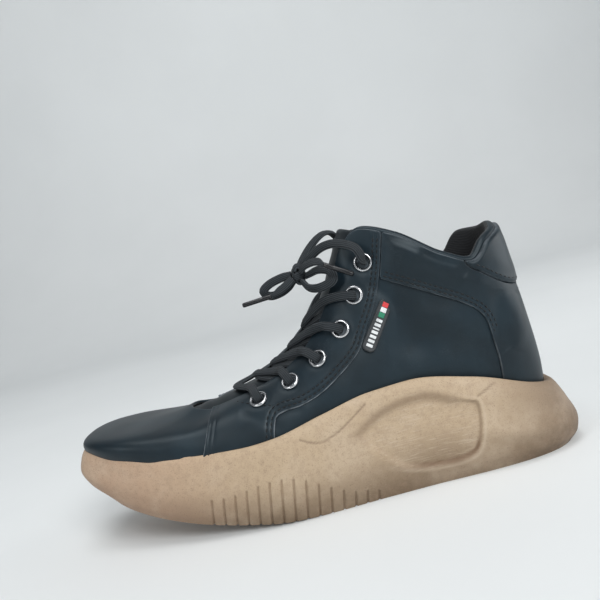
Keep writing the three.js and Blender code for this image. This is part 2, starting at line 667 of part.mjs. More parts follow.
// One strand, from under the throat's edge on one side up to the eyelet on the other
function strandForm(index, side, raise) {
  const { lip, cross, under } = eyeletPlaces[index];
  const underAcross = edge.out(lip) * halfBall - laceWidth * 0.75;
  const approach = eyeletApproach(index, side);
  const points = [
    tonguePoint(under, -side * underAcross, -laceRise - laceFloat / 2),
    tonguePoint(cross, 0, -laceRise - laceFloat - raise),
    ...approach.points,
  ];
  return solidOf(laceForm(points, [outwardOfRidge(under), outwardOfRidge(cross), ...approach.facings], 9));
}

function barForm() {
  const [medial, lateral] = [-1, 1].map((side) => eyeletApproach(0, side));
  const { cross } = eyeletPlaces[0];
  const middle = tonguePoint(cross, 0, -laceRise - laceFloat);
  const points = [...medial.points.reverse(), middle, ...lateral.points];
  const facings = [...medial.facings.reverse(), outwardOfRidge(cross), ...lateral.facings];
  return laceForm(points, facings, 12);
}

// Loose lace: an oval tube along its route, with its flat side turned as the route turns
function looseLace(points) {
  const route = new THREE.CatmullRomCurve3(points.map((p) => new THREE.Vector3(...p)));
  const around = Array.from({ length: roundSides }, (_, i) => {
    const angle = (2 * Math.PI * i) / roundSides;
    return new THREE.Vector2(Math.cos(angle) * laceWidth / 2, Math.sin(angle) * laceThickness / 2);
  });
  const steps = Math.max(4, Math.round(route.getLength() / laceWidth));
  return new THREE.ExtrudeGeometry(new THREE.Shape(around), { steps, extrudePath: route });
}

function agletForm({ from, to }) {
  const [start, aim] = [new THREE.Vector3(...from), new THREE.Vector3(...to)];
  const along = aim.sub(start).normalize();
  const radius = agletDiameter / 2;
  const geometry = new THREE.CylinderGeometry(radius, radius, agletLength, roundSides);
  geometry.applyQuaternion(new THREE.Quaternion().setFromUnitVectors(new THREE.Vector3(0, 1, 0), along));
  geometry.translate(...start.addScaledVector(along, agletLength / 2));
  return geometry;
}

function knotForm() {
  const geometry = new THREE.SphereGeometry(0.5, 10, 8);
  geometry.scale(...knotSize);
  geometry.translate(...knotPlace);
  return geometry;
}

const group = new THREE.Group();

function addPart(name, geometry, colour, roughness, metalness = 0) {
  const material = new THREE.MeshStandardMaterial({ color: colour, roughness, metalness });
  const mesh = new THREE.Mesh(geometry, material);
  mesh.name = name;
  group.add(mesh);
  return mesh;
}

const sides = [['lateral', 1], ['medial', -1]];
const leather = [0x17181c, 0.42];
const gum = [0xb89a80, 0.75];
const cloth = [0x1b1c1f, 0.85];
const metal = [0xc9ccd0, 0.25, 1];

const layer = skinLayer(clearance, overlayTop);
const thickLayer = skinLayer(clearance, clearance + tabThickness);
const reach = ballWidth;
const eyestay = eyestayOutline();
const holes = sides.flatMap(([, side]) => eyeletPlaces.map((_, i) => eyeletHole(eyeletSeat(i, side, 0))));
const drill = (solid) => holes.reduce((left, hole) => left.subtract(hole), solid);

const overlayOutlines = [eyestay, collarOutline()].map((outline) => grownOutline(outline, clearance));
const overlayRoom = overlayOutlines
  .map((outline) => layerRoom().intersect(acrossPrism(outline, -reach, reach)))
  .reduce((room, next) => room.add(next));
addPart('sole', geometryFrom(soleSolid(overlayRoom)), ...gum);
addPart('upper', geometryFrom(drill(solidOf(upperForm()))), ...leather);
addPart('insole', insoleForm(), 0x9b9b9b, 0.9);
addPart('tongue', geometryFrom(solidOf(tongueForm()).subtract(upperRoom())), ...leather);
for (const [name, side] of sides) {
  const [fromY, toY] = side > 0 ? [1, reach] : [-reach, -1];
  addPart(`eyestay_${name}`, geometryFrom(drill(layer.intersect(acrossPrism(eyestay, fromY, toY)))), ...leather);
}
const collar = layer.intersect(acrossPrism(collarOutline(), -reach, reach));
addPart('collar_panel', geometryFrom(collar.subtract(acrossPrism(tabOutline(clearance), -reach, reach))), ...leather);
addPart('heel_tab', geometryFrom(thickLayer.intersect(acrossPrism(tabOutline(0), -reach, reach))), ...leather);
const labelLayer = skinLayer(clearance, clearance + labelThickness);
addPart('label_plate', geometryFrom(labelLayer.intersect(acrossPrism(labelOutline(), 1, reach))), 0x2c2e31, 0.6);

for (const [name, side] of sides) {
  eyeletPlaces.forEach((_, i) => {
    addPart(`eyelet_${name}_${i + 1}`, eyeletForm(eyeletSeat(i, side, overlayTop)), ...metal);
  });
}

addPart('lace_bar', barForm(), ...cloth);
for (let i = 1; i < eyeletPlaces.length - 1; i += 1) {
  const over = strandForm(i, 1, crossRaise);
  const under = strandForm(i, -1, 0);
  addPart(`lace_cross_${i}`, geometryFrom(over.add(under)), ...cloth);
}

for (const [name, points] of Object.entries(laceRoutes)) addPart(name, looseLace(points), ...cloth);
addPart('lace_knot', knotForm(), ...cloth);
for (const [name, aim] of Object.entries(agletAims)) addPart(name, agletForm(aim), 0x2a2b2e, 0.3);

export default group;
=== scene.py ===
import math

import bpy
import numpy as np
from mathutils import Matrix, Vector


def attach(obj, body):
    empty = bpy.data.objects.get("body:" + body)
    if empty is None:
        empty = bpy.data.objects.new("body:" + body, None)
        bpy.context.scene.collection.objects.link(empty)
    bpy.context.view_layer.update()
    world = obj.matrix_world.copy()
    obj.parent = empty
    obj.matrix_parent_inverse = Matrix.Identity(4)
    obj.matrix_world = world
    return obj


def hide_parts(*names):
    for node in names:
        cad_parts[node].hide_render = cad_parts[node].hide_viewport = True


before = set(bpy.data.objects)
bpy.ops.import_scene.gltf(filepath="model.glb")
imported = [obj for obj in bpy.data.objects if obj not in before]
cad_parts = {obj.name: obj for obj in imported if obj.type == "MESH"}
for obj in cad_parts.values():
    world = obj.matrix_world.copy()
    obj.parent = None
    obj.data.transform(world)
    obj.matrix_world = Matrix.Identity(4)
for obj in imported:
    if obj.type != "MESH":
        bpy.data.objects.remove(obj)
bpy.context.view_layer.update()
mm = 0.001  # tables and shapes are worked out in millimetres, Blender's objects are in metres
print("frame loaded")


# Camera

cameraValues = {"place": (-3.71, 402.63, 142.75), "pitch": 4.0, "roll": 13.6, "lens": 39.9}


def makeCamera(values):
    pitch, roll = math.radians(values["pitch"]), math.radians(values["roll"])
    right = Vector((-1, 0, 0))
    up = Vector((0, -math.sin(pitch), math.cos(pitch)))
    across = right * math.cos(roll) - up * math.sin(roll)
    upward = right * math.sin(roll) + up * math.cos(roll)
    back = across.cross(upward)
    data = bpy.data.cameras.new("camera")
    data.lens = values["lens"]
    data.sensor_width = 36
    camera = bpy.data.objects.new("camera", data)
    turned = Matrix((across, upward, back)).transposed().to_4x4()
    camera.matrix_world = Matrix.Translation(Vector(values["place"]) * mm) @ turned
    bpy.context.scene.collection.objects.link(camera)
    bpy.context.scene.camera = camera


makeCamera(cameraValues)
print("camera made")


# Sizes and tables, the same as the solids have

sizes = {
    "soleLength": 296, "ballWidth": 106, "soleHeight": 60, "shaftHeight": 120, "sideFlare": 12,
    "cupInset": 11, "toeCapRoom": 12, "heelRoom": 15.5, "endRounding": 0.55, "clearance": 0.3,
    "upperWall": 2.2, "collarWall": 5.5, "overlay": 1.3, "tab": 3.2, "label": 1.8, "insole": 3.5,
    "tongue": 5.5, "tongueBend": 26, "laceWidth": 5.2, "laceThickness": 2.2, "laceFloat": 0.8,
    "crossRaise": 1.6, "eyeletHeight": 1.2, "agletLength": 18, "agletDiameter": 3.2,
    "sipeWidth": 1.5, "sipeLean": 0.17, "relief": 1.6,
}


def table(names, text):
    rows = [[float(v) for v in line.split()] for line in text.strip().splitlines()]
    return {name: np.array(column) for name, column in zip(names.split(), zip(*rows))}


soleTable = table("along centre lateral medial flare cup tread bed rim", """
    0.00 -0.09 0.98 0.98 1.0 1.00 0.670 0.82 1.000
    0.05 -0.09 0.98 0.98 1.0 1.00 0.530 0.79 1.000
    0.10 -0.08 0.99 0.99 1.0 1.00 0.385 0.69 1.000
    0.17 -0.06 1.00 1.00 1.0 1.00 0.250 0.57 0.870
    0.25 -0.04 1.02 1.01 1.0 1.00 0.145 0.48 0.775
    0.34 -0.02 1.02 0.99 1.0 1.00 0.060 0.43 0.760
    0.40  0.00 1.00 0.92 1.0 1.00 0.020 0.43 0.780
    0.50  0.01 0.93 0.80 1.0 1.00 0.000 0.48 0.880
    0.60  0.01 0.89 0.75 1.1 1.00 0.000 0.52 0.970
    0.68  0.00 0.90 0.80 1.2 1.15 0.000 0.53 0.985
    0.80  0.00 0.98 0.92 1.5 1.40 0.000 0.51 0.870
    0.92  0.00 1.07 1.02 1.7 1.60 0.000 0.48 0.650
    1.00  0.00 1.10 1.06 1.7 1.60 0.010 0.46 0.540
""")
sideTable = table("up toeIn heelIn sideIn", """
    0.00 0.85 0.48 0.24
    0.16 0.20 0.10 0.07
    0.38 0.00 0.00 0.00
    0.72 0.15 0.32 0.10
    0.94 0.38 0.62 0.28
    1.00 0.55 0.74 0.42
""")
upperTable = table("foot ahead out high swell lift reach crest", """
    0.000  0.257 0.000 0.338 0.51 0.26  0.66 -0.08
    0.110  0.247 0.190 0.332 0.49 0.245 0.60 -0.09
    0.225  0.206 0.290 0.315 0.38 0.20  0.49 -0.06
    0.325  0.145 0.320 0.338 0.25 0.18  0.34 -0.02
    0.410  0.081 0.330 0.377 0.17 0.21  0.28  0.00
    0.480  0.020 0.335 0.454 0.15 0.27  0.28 -0.03
    0.540 -0.037 0.340 0.592 0.15 0.33  0.32 -0.12
    0.585 -0.078 0.360 0.758 0.13 0.35  0.26 -0.21
    0.630 -0.115 0.410 0.942 0.11 0.37  0.17 -0.28
    0.670 -0.152 0.472 1.000 0.11 0.37  0.07 -0.33
    0.715 -0.216 0.585 0.933 0.13 0.35  0.02 -0.32
    0.770 -0.291 0.640 0.796 0.15 0.30 -0.04 -0.28
    0.825 -0.344 0.620 0.738 0.17 0.27 -0.06 -0.25
    0.880 -0.383 0.510 0.810 0.13 0.26 -0.01 -0.27
    0.940 -0.419 0.264 0.853 0.09 0.25  0.03 -0.27
    1.000 -0.428 0.000 0.878 0.07 0.25  0.05 -0.25
""")
medialRise = {"section": 12.8, "spread": 0.9, "high": 0.05}
eyestayRear = [(-0.191, 0.950), (-0.171, 0.775), (-0.149, 0.650), (-0.118, 0.525), (-0.095, 0.442),
               (-0.054, 0.367), (-0.010, 0.304), (0.030, 0.272), (0.066, 0.262), (0.084, 0.237),
               (0.095, 0.138), (0.105, 0.000)]
eyestayFront = [(0.250, 0.000), (0.233, 0.138), (0.223, 0.200), (0.204, 0.330), (0.190, 0.450)]
collarSeam = [(-0.170, 0.752), (-0.215, 0.690), (-0.268, 0.615), (-0.306, 0.560), (-0.334, 0.505),
              (-0.348, 0.445), (-0.352, 0.360), (-0.355, 0.225), (-0.352, 0.000)]
tabEdge = [(-0.324, 0.850), (-0.331, 0.730), (-0.358, 0.670), (-0.389, 0.612), (-0.416, 0.579),
           (-0.440, 0.572), (-0.520, 0.572)]
sipeTops = [23.4, 22.8, 23.2, 24.7, 25.8, 26.5, 26.4, 25.2, 22.4, 19, 15.2, 11.6, 8.9, 7.4, 6]
sidePanel = [(-0.042, 0.65), (-0.110, 0.84), (-0.200, 0.88), (-0.270, 0.72), (-0.291, 0.66),
             (-0.285, 0.42), (-0.262, 0.21), (-0.190, 0.18), (-0.105, 0.30)]
eyeletTable = table("row climb lip cross under", """
    3.82 0.700 3.35 0.320 0.365
    4.70 0.700 4.35 0.410 0.455
    5.62 0.710 5.15 0.485 0.530
    6.76 0.720 5.80 0.570 0.615
    7.70 0.745 6.60 0.645 0.690
    8.74 0.840 8.00 0.800 0.845
""")
tongueTable = table("ahead high half pad", """
     0.300 0.300 0.36 0.45
     0.250 0.318 0.45 0.60
     0.205 0.335 0.51 0.80
     0.147 0.362 0.53 1.00
     0.087 0.401 0.53 1.00
     0.029 0.476 0.53 1.00
    -0.027 0.609 0.53 1.00
    -0.068 0.772 0.51 1.00
    -0.105 0.955 0.47 1.00
    -0.121 1.030 0.42 0.60
""")
halfBall = sizes["ballWidth"] / 2
halfLength = sizes["soleLength"] / 2
lastRow = len(upperTable["foot"]) - 1
sides = {"lateral": 1, "medial": -1}
overlayTop = sizes["clearance"] + sizes["overlay"]
nudge = 1e-4  # small step along a curve, for its direction


# Curves and surfaces

def smoothStep(value, low, high):
    t = np.clip((value - low) / (high - low), 0, 1)
    return t * t * (3 - 2 * t)


def bell(value, centre, width):
    return np.exp(-((value - centre) / width) ** 2)


def unit(vectors):
    return vectors / np.linalg.norm(vectors, axis=-1, keepdims=True)


def columnOf(rows, name, key=None, flatEnds=False):
    value = rows[name]
    at = rows[key] if key else np.arange(len(value), dtype=float)
    secant = np.diff(value) / np.diff(at)
    slope = np.zeros(len(value))
    before, after = secant[:-1], secant[1:]
    same = before * after > 0
    slope[1:-1][same] = 2 * before[same] * after[same] / (before[same] + after[same])
    if not flatEnds:
        slope[0], slope[-1] = secant[0], secant[-1]

    def curve(position):
        p = np.clip(position, at[0], at[-1])
        i = np.clip(np.searchsorted(at, p, side="right") - 1, 0, len(at) - 2)
        span = at[i + 1] - at[i]
        t = (p - at[i]) / span
        lead = t * (1 - t) ** 2 * slope[i] - t * t * (1 - t) * slope[i + 1]
        return value[i] + (value[i + 1] - value[i]) * t * t * (3 - 2 * t) + lead * span

    return curve


section = {name: columnOf(soleTable, name, "along") for name in soleTable if name != "along"}
level = {name: columnOf(sideTable, name, "up") for name in ("toeIn", "heelIn", "sideIn")}
edge = {name: columnOf(upperTable, name, flatEnds=name not in ("foot", "out")) for name in upperTable}
tongueShare = {name: columnOf(tongueTable, name) for name in ("half", "pad")}
shaftBase = float(section["bed"](1.0)) * sizes["soleHeight"]


def placeAt(x):
    return (halfLength - x) / sizes["soleLength"]


def heightOf(name, x):
    return section[name](placeAt(x)) * sizes["soleHeight"]


def outlinePoint(turn, toeIn, heelIn, sideIn):
    angle = turn * 2 * math.pi
    along = (1 - np.cos(angle)) / 2
    x = halfLength - toeIn - (sizes["soleLength"] - toeIn - heelIn) * along
    place = placeAt(x)
    sine = np.round(np.sin(angle), 9)
    share = np.where(sine < 0, section["medial"](place), section["lateral"](place))
    width = share * halfBall - sideIn(place)
    y = section["centre"](place) * halfBall + np.sign(sine) * width * np.abs(sine) ** sizes["endRounding"]
    return x, y


def footPlan(turn):
    return outlinePoint(turn, sizes["toeCapRoom"], sizes["heelRoom"],
                        lambda place: section["cup"](place) * sizes["cupInset"])


def upperCurve(turn):
    wrapped = np.mod(turn, 1)
    side = np.where(wrapped <= 0.5, 1.0, -1.0)
    row = 2 * lastRow * np.where(side > 0, wrapped, 1 - wrapped)
    footTurn = side * edge["foot"](row) / 2
    x, y = footPlan(footTurn)
    ax, ay = footPlan(footTurn + 0.002)
    bx, by = footPlan(footTurn - 0.002)
    run = np.hypot(ax - bx, ay - by)
    outward = np.stack([(ay - by) / run, -(ax - bx) / run, np.zeros_like(run)], -1)
    start = np.stack([x, y, heightOf("bed", x) + sizes["clearance"]], -1)
    rise = medialRise["high"] * bell(row, medialRise["section"], medialRise["spread"])
    high = edge["high"](row) + np.where(side < 0, rise, 0)
    end = np.stack([edge["ahead"](row) * sizes["soleLength"], side * edge["out"](row) * halfBall,
                    shaftBase + high * sizes["shaftHeight"]], -1)
    up = np.array([0, 0, sizes["shaftHeight"]])
    first = start + outward * (edge["swell"](row) * halfBall)[..., None] + edge["lift"](row)[..., None] * up
    second = end + outward * (edge["reach"](row) * halfBall)[..., None] + edge["crest"](row)[..., None] * up
    return start, first, second, end


def skinAt(turn, climb):
    a, b, c, d = upperCurve(turn)
    t = np.asarray(climb)[..., None]
    return a * (1 - t) ** 3 + 3 * b * t * (1 - t) ** 2 + 3 * c * t * t * (1 - t) + d * t ** 3


def skinNormal(turn, climb):
    low, high = np.maximum(climb - 0.01, 0), np.minimum(climb + 0.01, 1)
    normal = np.cross(skinAt(turn + 0.002, climb) - skinAt(turn - 0.002, climb),
                      skinAt(turn, high) - skinAt(turn, low))
    return unit(normal)


def skinPoint(turn, climb, offset):
    turn, climb = np.broadcast_arrays(np.asarray(turn, float), np.asarray(climb, float))
    return skinAt(turn, climb) + skinNormal(turn, climb) * np.asarray(offset)[..., None]


def wallAt(turn, climb):
    row = lastRow * (1 - np.abs(1 - 2 * np.mod(turn, 1)))
    return sizes["upperWall"] + (sizes["collarWall"] - sizes["upperWall"]) * (
        smoothStep(row, 8, 10) * smoothStep(climb, 0.55, 0.85))


def seen(points):
    pairs = np.array(points, float)
    return np.stack([pairs[:, 0] * sizes["soleLength"], shaftBase + pairs[:, 1] * sizes["shaftHeight"]], 1)


def splineThrough(points, count):
    p = np.asarray(points, float)
    at = np.linspace(0, len(p) - 1, count + 1)
    i = np.minimum(at.astype(int), len(p) - 2)
    t = (at - i)[:, None]
    before, after = p[np.maximum(i - 1, 0)], p[np.minimum(i + 2, len(p) - 1)]
    first, last = p[i], p[i + 1]
    lead, trail = (last - before) / 2, (after - first) / 2
    return ((2 * first - 2 * last + lead + trail) * t ** 3
            + (-3 * first + 3 * last - 2 * lead - trail) * t * t + lead * t + first)


def routeThrough(points, at):
    p = np.asarray(points, float)
    p = np.vstack([2 * p[0] - p[1], p, 2 * p[-1] - p[-2]])
    place = np.clip(np.atleast_1d(at), 0, 1) * (len(p) - 3)
    i = np.minimum(place.astype(int), len(p) - 4)
    t = (place - i)[:, None]
    a, b, c, d = p[i], p[i + 1], p[i + 2], p[i + 3]
    ab, bc, cd = [np.sqrt(np.linalg.norm(v, axis=1))[:, None] for v in (b - a, c - b, d - c)]
    lead = ((b - a) / ab - (c - a) / (ab + bc) + (c - b) / bc) * bc
    trail = ((c - b) / bc - (d - b) / (bc + cd) + (d - c) / cd) * bc
    return ((2 * b - 2 * c + lead + trail) * t ** 3
            + (-3 * b + 3 * c - 2 * lead - trail) * t * t + lead * t + b)


def facingAt(facings, share):
    f = unit(np.array(facings, float))
    at = np.linspace(0, 1, len(f))
    return np.stack([np.interp(share, at, f[:, k]) for k in range(3)], 1)


def evenly(points, spacing):
    fine = routeThrough(points, np.linspace(0, 1, 60 * len(points)))
    run = np.concatenate([[0], np.cumsum(np.linalg.norm(np.diff(fine, axis=0), axis=1))])
    count = max(3, int(run[-1] / spacing) + 1)
    even = np.linspace(0, run[-1], count)
    return np.stack([np.interp(even, run, fine[:, k]) for k in range(3)], 1), even / run[-1]


ridgePoints = np.insert(seen(np.stack([tongueTable["ahead"], tongueTable["high"]], 1)), 1, 0, axis=1)


def ridgeOutward(share):
    share = np.asarray(share)
    along = unit(routeThrough(ridgePoints, share + nudge) - routeThrough(ridgePoints, share - nudge))
    return np.stack([along[:, 2], np.zeros(len(along)), -along[:, 0]], 1)


def tonguePoint(share, across, depth):
    share, across, depth = [np.atleast_1d(np.asarray(v, float)) for v in (share, across, depth)]
    share, across, depth = np.broadcast_arrays(share, across, depth)
    inner = np.clip(share, nudge, 1 - nudge)
    drop = across ** 2 / (2 * sizes["tongueBend"]) + depth
    point = routeThrough(ridgePoints, share) - ridgeOutward(inner) * drop[:, None]
    point[:, 1] = across
    return point


# Mesh helpers

def makeMesh(name, points, faces, materials, sharp=None, faceMaterials=None):
    mesh = bpy.data.meshes.new(name)
    lists = faces if isinstance(faces, list) else faces.tolist()
    mesh.from_pydata((np.asarray(points, float) * mm).tolist(), [], lists)
    mesh.polygons.foreach_set("use_smooth", [True] * len(mesh.polygons))
    for material in materials:
        mesh.materials.append(material)
    if faceMaterials is not None:
        mesh.polygons.foreach_set("material_index", np.asarray(faceMaterials, np.int32))
    mesh.update()
    if sharp:
        mesh.set_sharp_from_angle(angle=math.radians(sharp))
    piece = bpy.data.objects.new(name, mesh)
    bpy.context.scene.collection.objects.link(piece)
    return piece


def place(piece, slot, *nodes):
    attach(piece, "root")
    if nodes:
        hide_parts(*nodes)
    return piece


def mark(piece, name, values):
    attribute = piece.data.attributes.new(name, "FLOAT", "POINT")
    attribute.data.foreach_set("value", np.asarray(values, np.float32))


def ringFaces(rings, around):
    r, c = np.meshgrid(np.arange(rings - 1) * around, np.arange(around), indexing="ij")
    d = (c + 1) % around
    return np.stack([r + c, r + d, r + around + d, r + around + c], -1).reshape(-1, 4)


def tubeFaces(rings, around):
    faces = ringFaces(rings, around).tolist()
    faces.append(list(range(around))[::-1])
    faces.append([(rings - 1) * around + k for k in range(around)])
    return faces


def joinParts(parts):
    points, faces, start = [], [], 0
    for p, f in parts:
        points.append(p)
        faces += [[start + v for v in face] for face in (f if isinstance(f, list) else f.tolist())]
        start += len(p)
    return np.vstack(points), faces


# Lace

laceValues = {
    "ribs": 5, "ribDepth": 0.16, "ribSpread": 1.2, "plump": 1.2, "squareness": 0.75,
    "around": 40, "step": 0.9, "intoEyelet": 4.2, "underEdge": 4.0, "easeLength": 0.12, "easeFat": 0.25,
    "runs": {
        "lateral": [(-42.9, 29.9, 129.6), (-42.5, 34, 131.6), (-40.6, 34, 137.2), (-35.4, 28, 141.2),
                    (-28, 20.5, 143.2), (-20.5, 14.6, 141.6), (-9.9, 9, 134.4)],
        "medial": [(-42.7, -29.7, 129.7), (-42.4, -34, 131.8), (-40, -32.5, 139), (-36, -25, 145.8),
                   (-31, -14, 150.4), (-24.6, -5, 149.6), (-17, -1.5, 144.2), (-8.6, 4.2, 135.1)],
    },
    "loops": {
        "left": [(-2.2, 5.8, 130.9), (5, 4, 130.2), (12.6, 3, 128), (16.6, 2.6, 124.8),
                 (13.4, 2.6, 121.4), (6.4, 4, 121.8), (1.2, 5, 124.2), (-2.5, 5.9, 127.1)],
        "right": [(-10.7, 9.8, 128.4), (-18.5, 19, 130.4), (-24.4, 27.2, 128), (-24.6, 30, 123.6),
                  (-17.5, 27.6, 120.8), (-10.8, 19.5, 121.4), (-7.7, 10.9, 125.5)],
    },
    "ends": {
        "left": [(-2.3, 9.7, 128.6), (3, 11, 125.2), (8, 10.8, 123), (11.6, 10.6, 121.6)],
        "right": [(-8.1, 12, 132.4), (-12, 19.4, 134.8), (-17.6, 26.5, 135.4), (-20.6, 31.4, 133.4)],
    },
    "aglets": {
        "left": ((12.1, 10.6, 121.4), (30, 10.4, 120)),
        "right": ((-21.1, 32.3, 132.9), (-36, 38.6, 124)),
    },
    "runFacings": {
        "lateral": [(-0.3, 0.6, 0.6), (-0.2, 0.9, 0.3), (0, 0.95, 0.3), (0.1, 0.95, 0.25), (0.2, 0.95, 0.2),
                    (0.3, 0.9, 0.2)],
        "medial": [(-0.6, -0.5, 0.6), (-0.5, -0.6, 0.55), (-0.2, 0.1, 0.95), (0.1, 0.5, 0.85),
                   (0.3, 0.8, 0.5), (0.4, 0.85, 0.3)],
    },
    "loopFacings": {
        "left": [(0.2, 0.95, 0.3), (0.1, 1, 0.2), (0.4, 0.9, 0.0), (0.1, 1, -0.1), (0.1, 0.9, -0.3)],
        "right": [(0.1, 0.8, 0.6), (0.3, 0.8, 0.5), (0.5, 0.8, 0.1), (0.5, 0.8, -0.3), (0.5, 0.7, -0.4)],
    },
    "runEnds": (0.85, 0.9), "loopEnds": (0.85, 0.85), "endFacing": (0.1, 0.9, 0.4),
    "endHalf": 1.25, "endFat": 1.2, "endTaper": 7, "inAglet": (0.15, 0.55, 0.93),
    "agletFlat": 0.92, "agletAround": 20,
    "agletProfile": [(0.0, 0.7), (0.02, 0.96), (0.05, 1.0), (0.30, 0.98), (0.32, 0.93), (0.34, 0.98),
                     (0.94, 0.96), (0.985, 0.86), (1.0, 0.6)],
    "knot": (-6.6, 7.2, 130.2), "intoKnot": (-1.0, 0.6, 1.4), "towardsKnot": 0.15, "belowEyelet": 2.4,
    "knotTurns": [
        {"start": 0.0, "turns": 1.15, "count": 16, "radii": (2.9, 3.6, 0), "facing": (1, 1, 0),
         "from": (0, 0, -1.6), "to": (0, 0, 1.8)},
        {"start": 0.6, "turns": 0.95, "count": 14, "radii": (2.4, 1.6, 5.0), "facing": (1, 0.4, 1),
         "from": (0, 0.6, 0), "to": (0, 0.6, 0)},
    ],
}


def laceFrame(line, facing):
    along = unit(np.gradient(line, axis=0))
    up = unit(facing - along * (facing * along).sum(1)[:, None])
    return up, np.cross(up, along)


def laceRing(values):
    angle = np.linspace(0, 2 * math.pi, values["around"], endpoint=False)
    wide, high = np.cos(angle), np.sin(angle)
    rib = np.cos(math.pi * wide * (values["ribs"] + 1) / values["ribSpread"])
    return wide, np.sign(high) * np.abs(high) ** values["squareness"], rib


def laceRings(line, across, wide, up, high):
    rings = line[:, None] + across[:, None] * wide[..., None] + up[:, None] * high[..., None]
    return rings.reshape(-1, 3)


def laceTube(points, facings, values=laceValues, narrowEnds=(1, 1)):
    line, share = evenly(points, values["step"])
    up, across = laceFrame(line, facingAt(facings, share))
    wide, thick, rib = laceRing(values)
    thick = thick * (1 - values["ribDepth"] * rib)
    ease = 1
    for narrow, fromEnd in zip(narrowEnds, (share, 1 - share)):
        ease = ease * (narrow + (1 - narrow) * smoothStep(fromEnd, 0, values["easeLength"]))
    half = sizes["laceWidth"] / 2 * ease
    fat = sizes["laceThickness"] / 2 * values["plump"] * (1 + values["easeFat"] * (1 - ease))
    points = laceRings(line, across, wide * half[:, None], up, thick * fat[:, None])
    return points, tubeFaces(len(line), values["around"]), line


# the ribs' crests are painted lighter: a painted highlight on the lace
def ribHighlight(count, values=laceValues):
    return np.tile(0.5 - 0.5 * laceRing(values)[2], count // values["around"])


def turnOf(row, side):
    return row / lastRow / 2 if side > 0 else 1 - row / lastRow / 2


laceRise = sizes["laceThickness"] / 2 + sizes["clearance"]


def eyeletSeat(index, side, height):
    turn, climb = turnOf(eyeletTable["row"][index], side), eyeletTable["climb"][index]
    return skinPoint(turn, climb, height), skinNormal(turn, climb)


def eyeletApproach(index, side):
    row, climb, lip = [eyeletTable[name][index] for name in ("row", "climb", "lip")]
    onEyelet = overlayTop + sizes["eyeletHeight"] + laceRise
    seat, normal = eyeletSeat(index, side, onEyelet + sizes["laceFloat"] / 2)
    lipTurn, browTurn, browClimb = turnOf(lip, side), turnOf((lip + row) / 2, side), (climb + 1) / 2
    points = [skinPoint(lipTurn, 1.0, overlayTop + laceRise + sizes["laceFloat"]),
              skinPoint(browTurn, browClimb, onEyelet + sizes["laceFloat"]),
              seat + (skinPoint(browTurn, browClimb, onEyelet) - seat) * 0.22,
              seat - normal * (sizes["laceThickness"] * 0.9),
              seat - normal * laceValues["intoEyelet"]]
    toEyelet = seat - points[1]
    facings = [skinNormal(lipTurn, 1.0), skinNormal(browTurn, browClimb),
               normal + toEyelet * 0.06, normal * 0.4 + toEyelet * 0.15, toEyelet]
    return points, facings


def strandPath(index, side, raiseBy):
    lip, cross, under = [eyeletTable[name][index] for name in ("lip", "cross", "under")]
    underAcross = float(edge["out"](lip)) * halfBall - sizes["laceWidth"] * 0.75
    points, facings = eyeletApproach(index, side)
    first = tonguePoint(under, -side * underAcross, -laceRise - sizes["laceFloat"] / 2)[0]
    hidden = tonguePoint(under + 0.02, -side * (underAcross + laceValues["underEdge"]), -laceRise)[0]
    middle = tonguePoint(cross, 0, -laceRise - sizes["laceFloat"] - raiseBy)[0]
    outward = [ridgeOutward([share])[0] for share in (under, under, cross)]
    outward[0] = outward[1] = outward[1] + np.array([0, -side * 0.5, 0])
    return [hidden, first, middle, *points], [*outward, *facings]


def barPath():
    medial, lateral = [eyeletApproach(0, side) for side in (-1, 1)]
    cross = eyeletTable["cross"][0]
    middle = tonguePoint(cross, 0, -laceRise - sizes["laceFloat"])[0]
    return ([*medial[0][::-1], middle, *lateral[0]],
            [*medial[1][::-1], ridgeOutward([cross])[0], *lateral[1]])


# Materials

def group(name, inputs, outputs):
    tree = bpy.data.node_groups.new(name, "ShaderNodeTree")
    for label, kind, default in inputs:
        socket = tree.interface.new_socket(label, in_out="INPUT", socket_type=kind)
        socket.default_value = default
    for label, kind in outputs:
        tree.interface.new_socket(label, in_out="OUTPUT", socket_type=kind)
    return tree, tree.nodes.new("NodeGroupInput"), tree.nodes.new("NodeGroupOutput")


def feed(tree, socket, value):
    if isinstance(value, (int, float)):
        socket.default_value = value
    elif isinstance(value, tuple):
        socket.default_value = (*value, 1)
    else:
        tree.links.new(value, socket)


def math2(tree, operation, a, b, clamp=False):
    node = tree.nodes.new("ShaderNodeMath")
    node.operation = operation
    node.use_clamp = clamp
    feed(tree, node.inputs[0], a)
    feed(tree, node.inputs[1], b)
    return node.outputs[0]


def times(tree, a, b):
    return math2(tree, "MULTIPLY", a, b)


def noise(tree, vector, scale, detail=3.0, rough=0.55):
    node = tree.nodes.new("ShaderNodeTexNoise")
    for name, value in (("Vector", vector), ("Scale", scale), ("Detail", detail), ("Roughness", rough)):
        feed(tree, node.inputs[name], value)
    return node.outputs["Fac"]


def ramp(tree, value, low, high, outLow=0.0, outHigh=1.0):
    node = tree.nodes.new("ShaderNodeMapRange")
    node.interpolation_type = "SMOOTHSTEP"
    feed(tree, node.inputs["Value"], value)
    for name, number in (("From Min", low), ("From Max", high), ("To Min", outLow), ("To Max", outHigh)):
        feed(tree, node.inputs[name], number)
    return node.outputs["Result"]


def mixColour(tree, factor, a, b):
    node = tree.nodes.new("ShaderNodeMix")
    node.data_type = "RGBA"
    for index, value in ((0, factor), (6, a), (7, b)):
        feed(tree, node.inputs[index], value)
    return node.outputs[2]


def coordinates(tree, stretch=(1, 1, 1), turned=(0, 0, 0)):
    source = tree.nodes.new("ShaderNodeTexCoord")
    mapping = tree.nodes.new("ShaderNodeMapping")
    mapping.inputs["Scale"].default_value = stretch
    mapping.inputs["Rotation"].default_value = turned
    tree.links.new(source.outputs["Object"], mapping.inputs["Vector"])
    return mapping.outputs["Vector"]


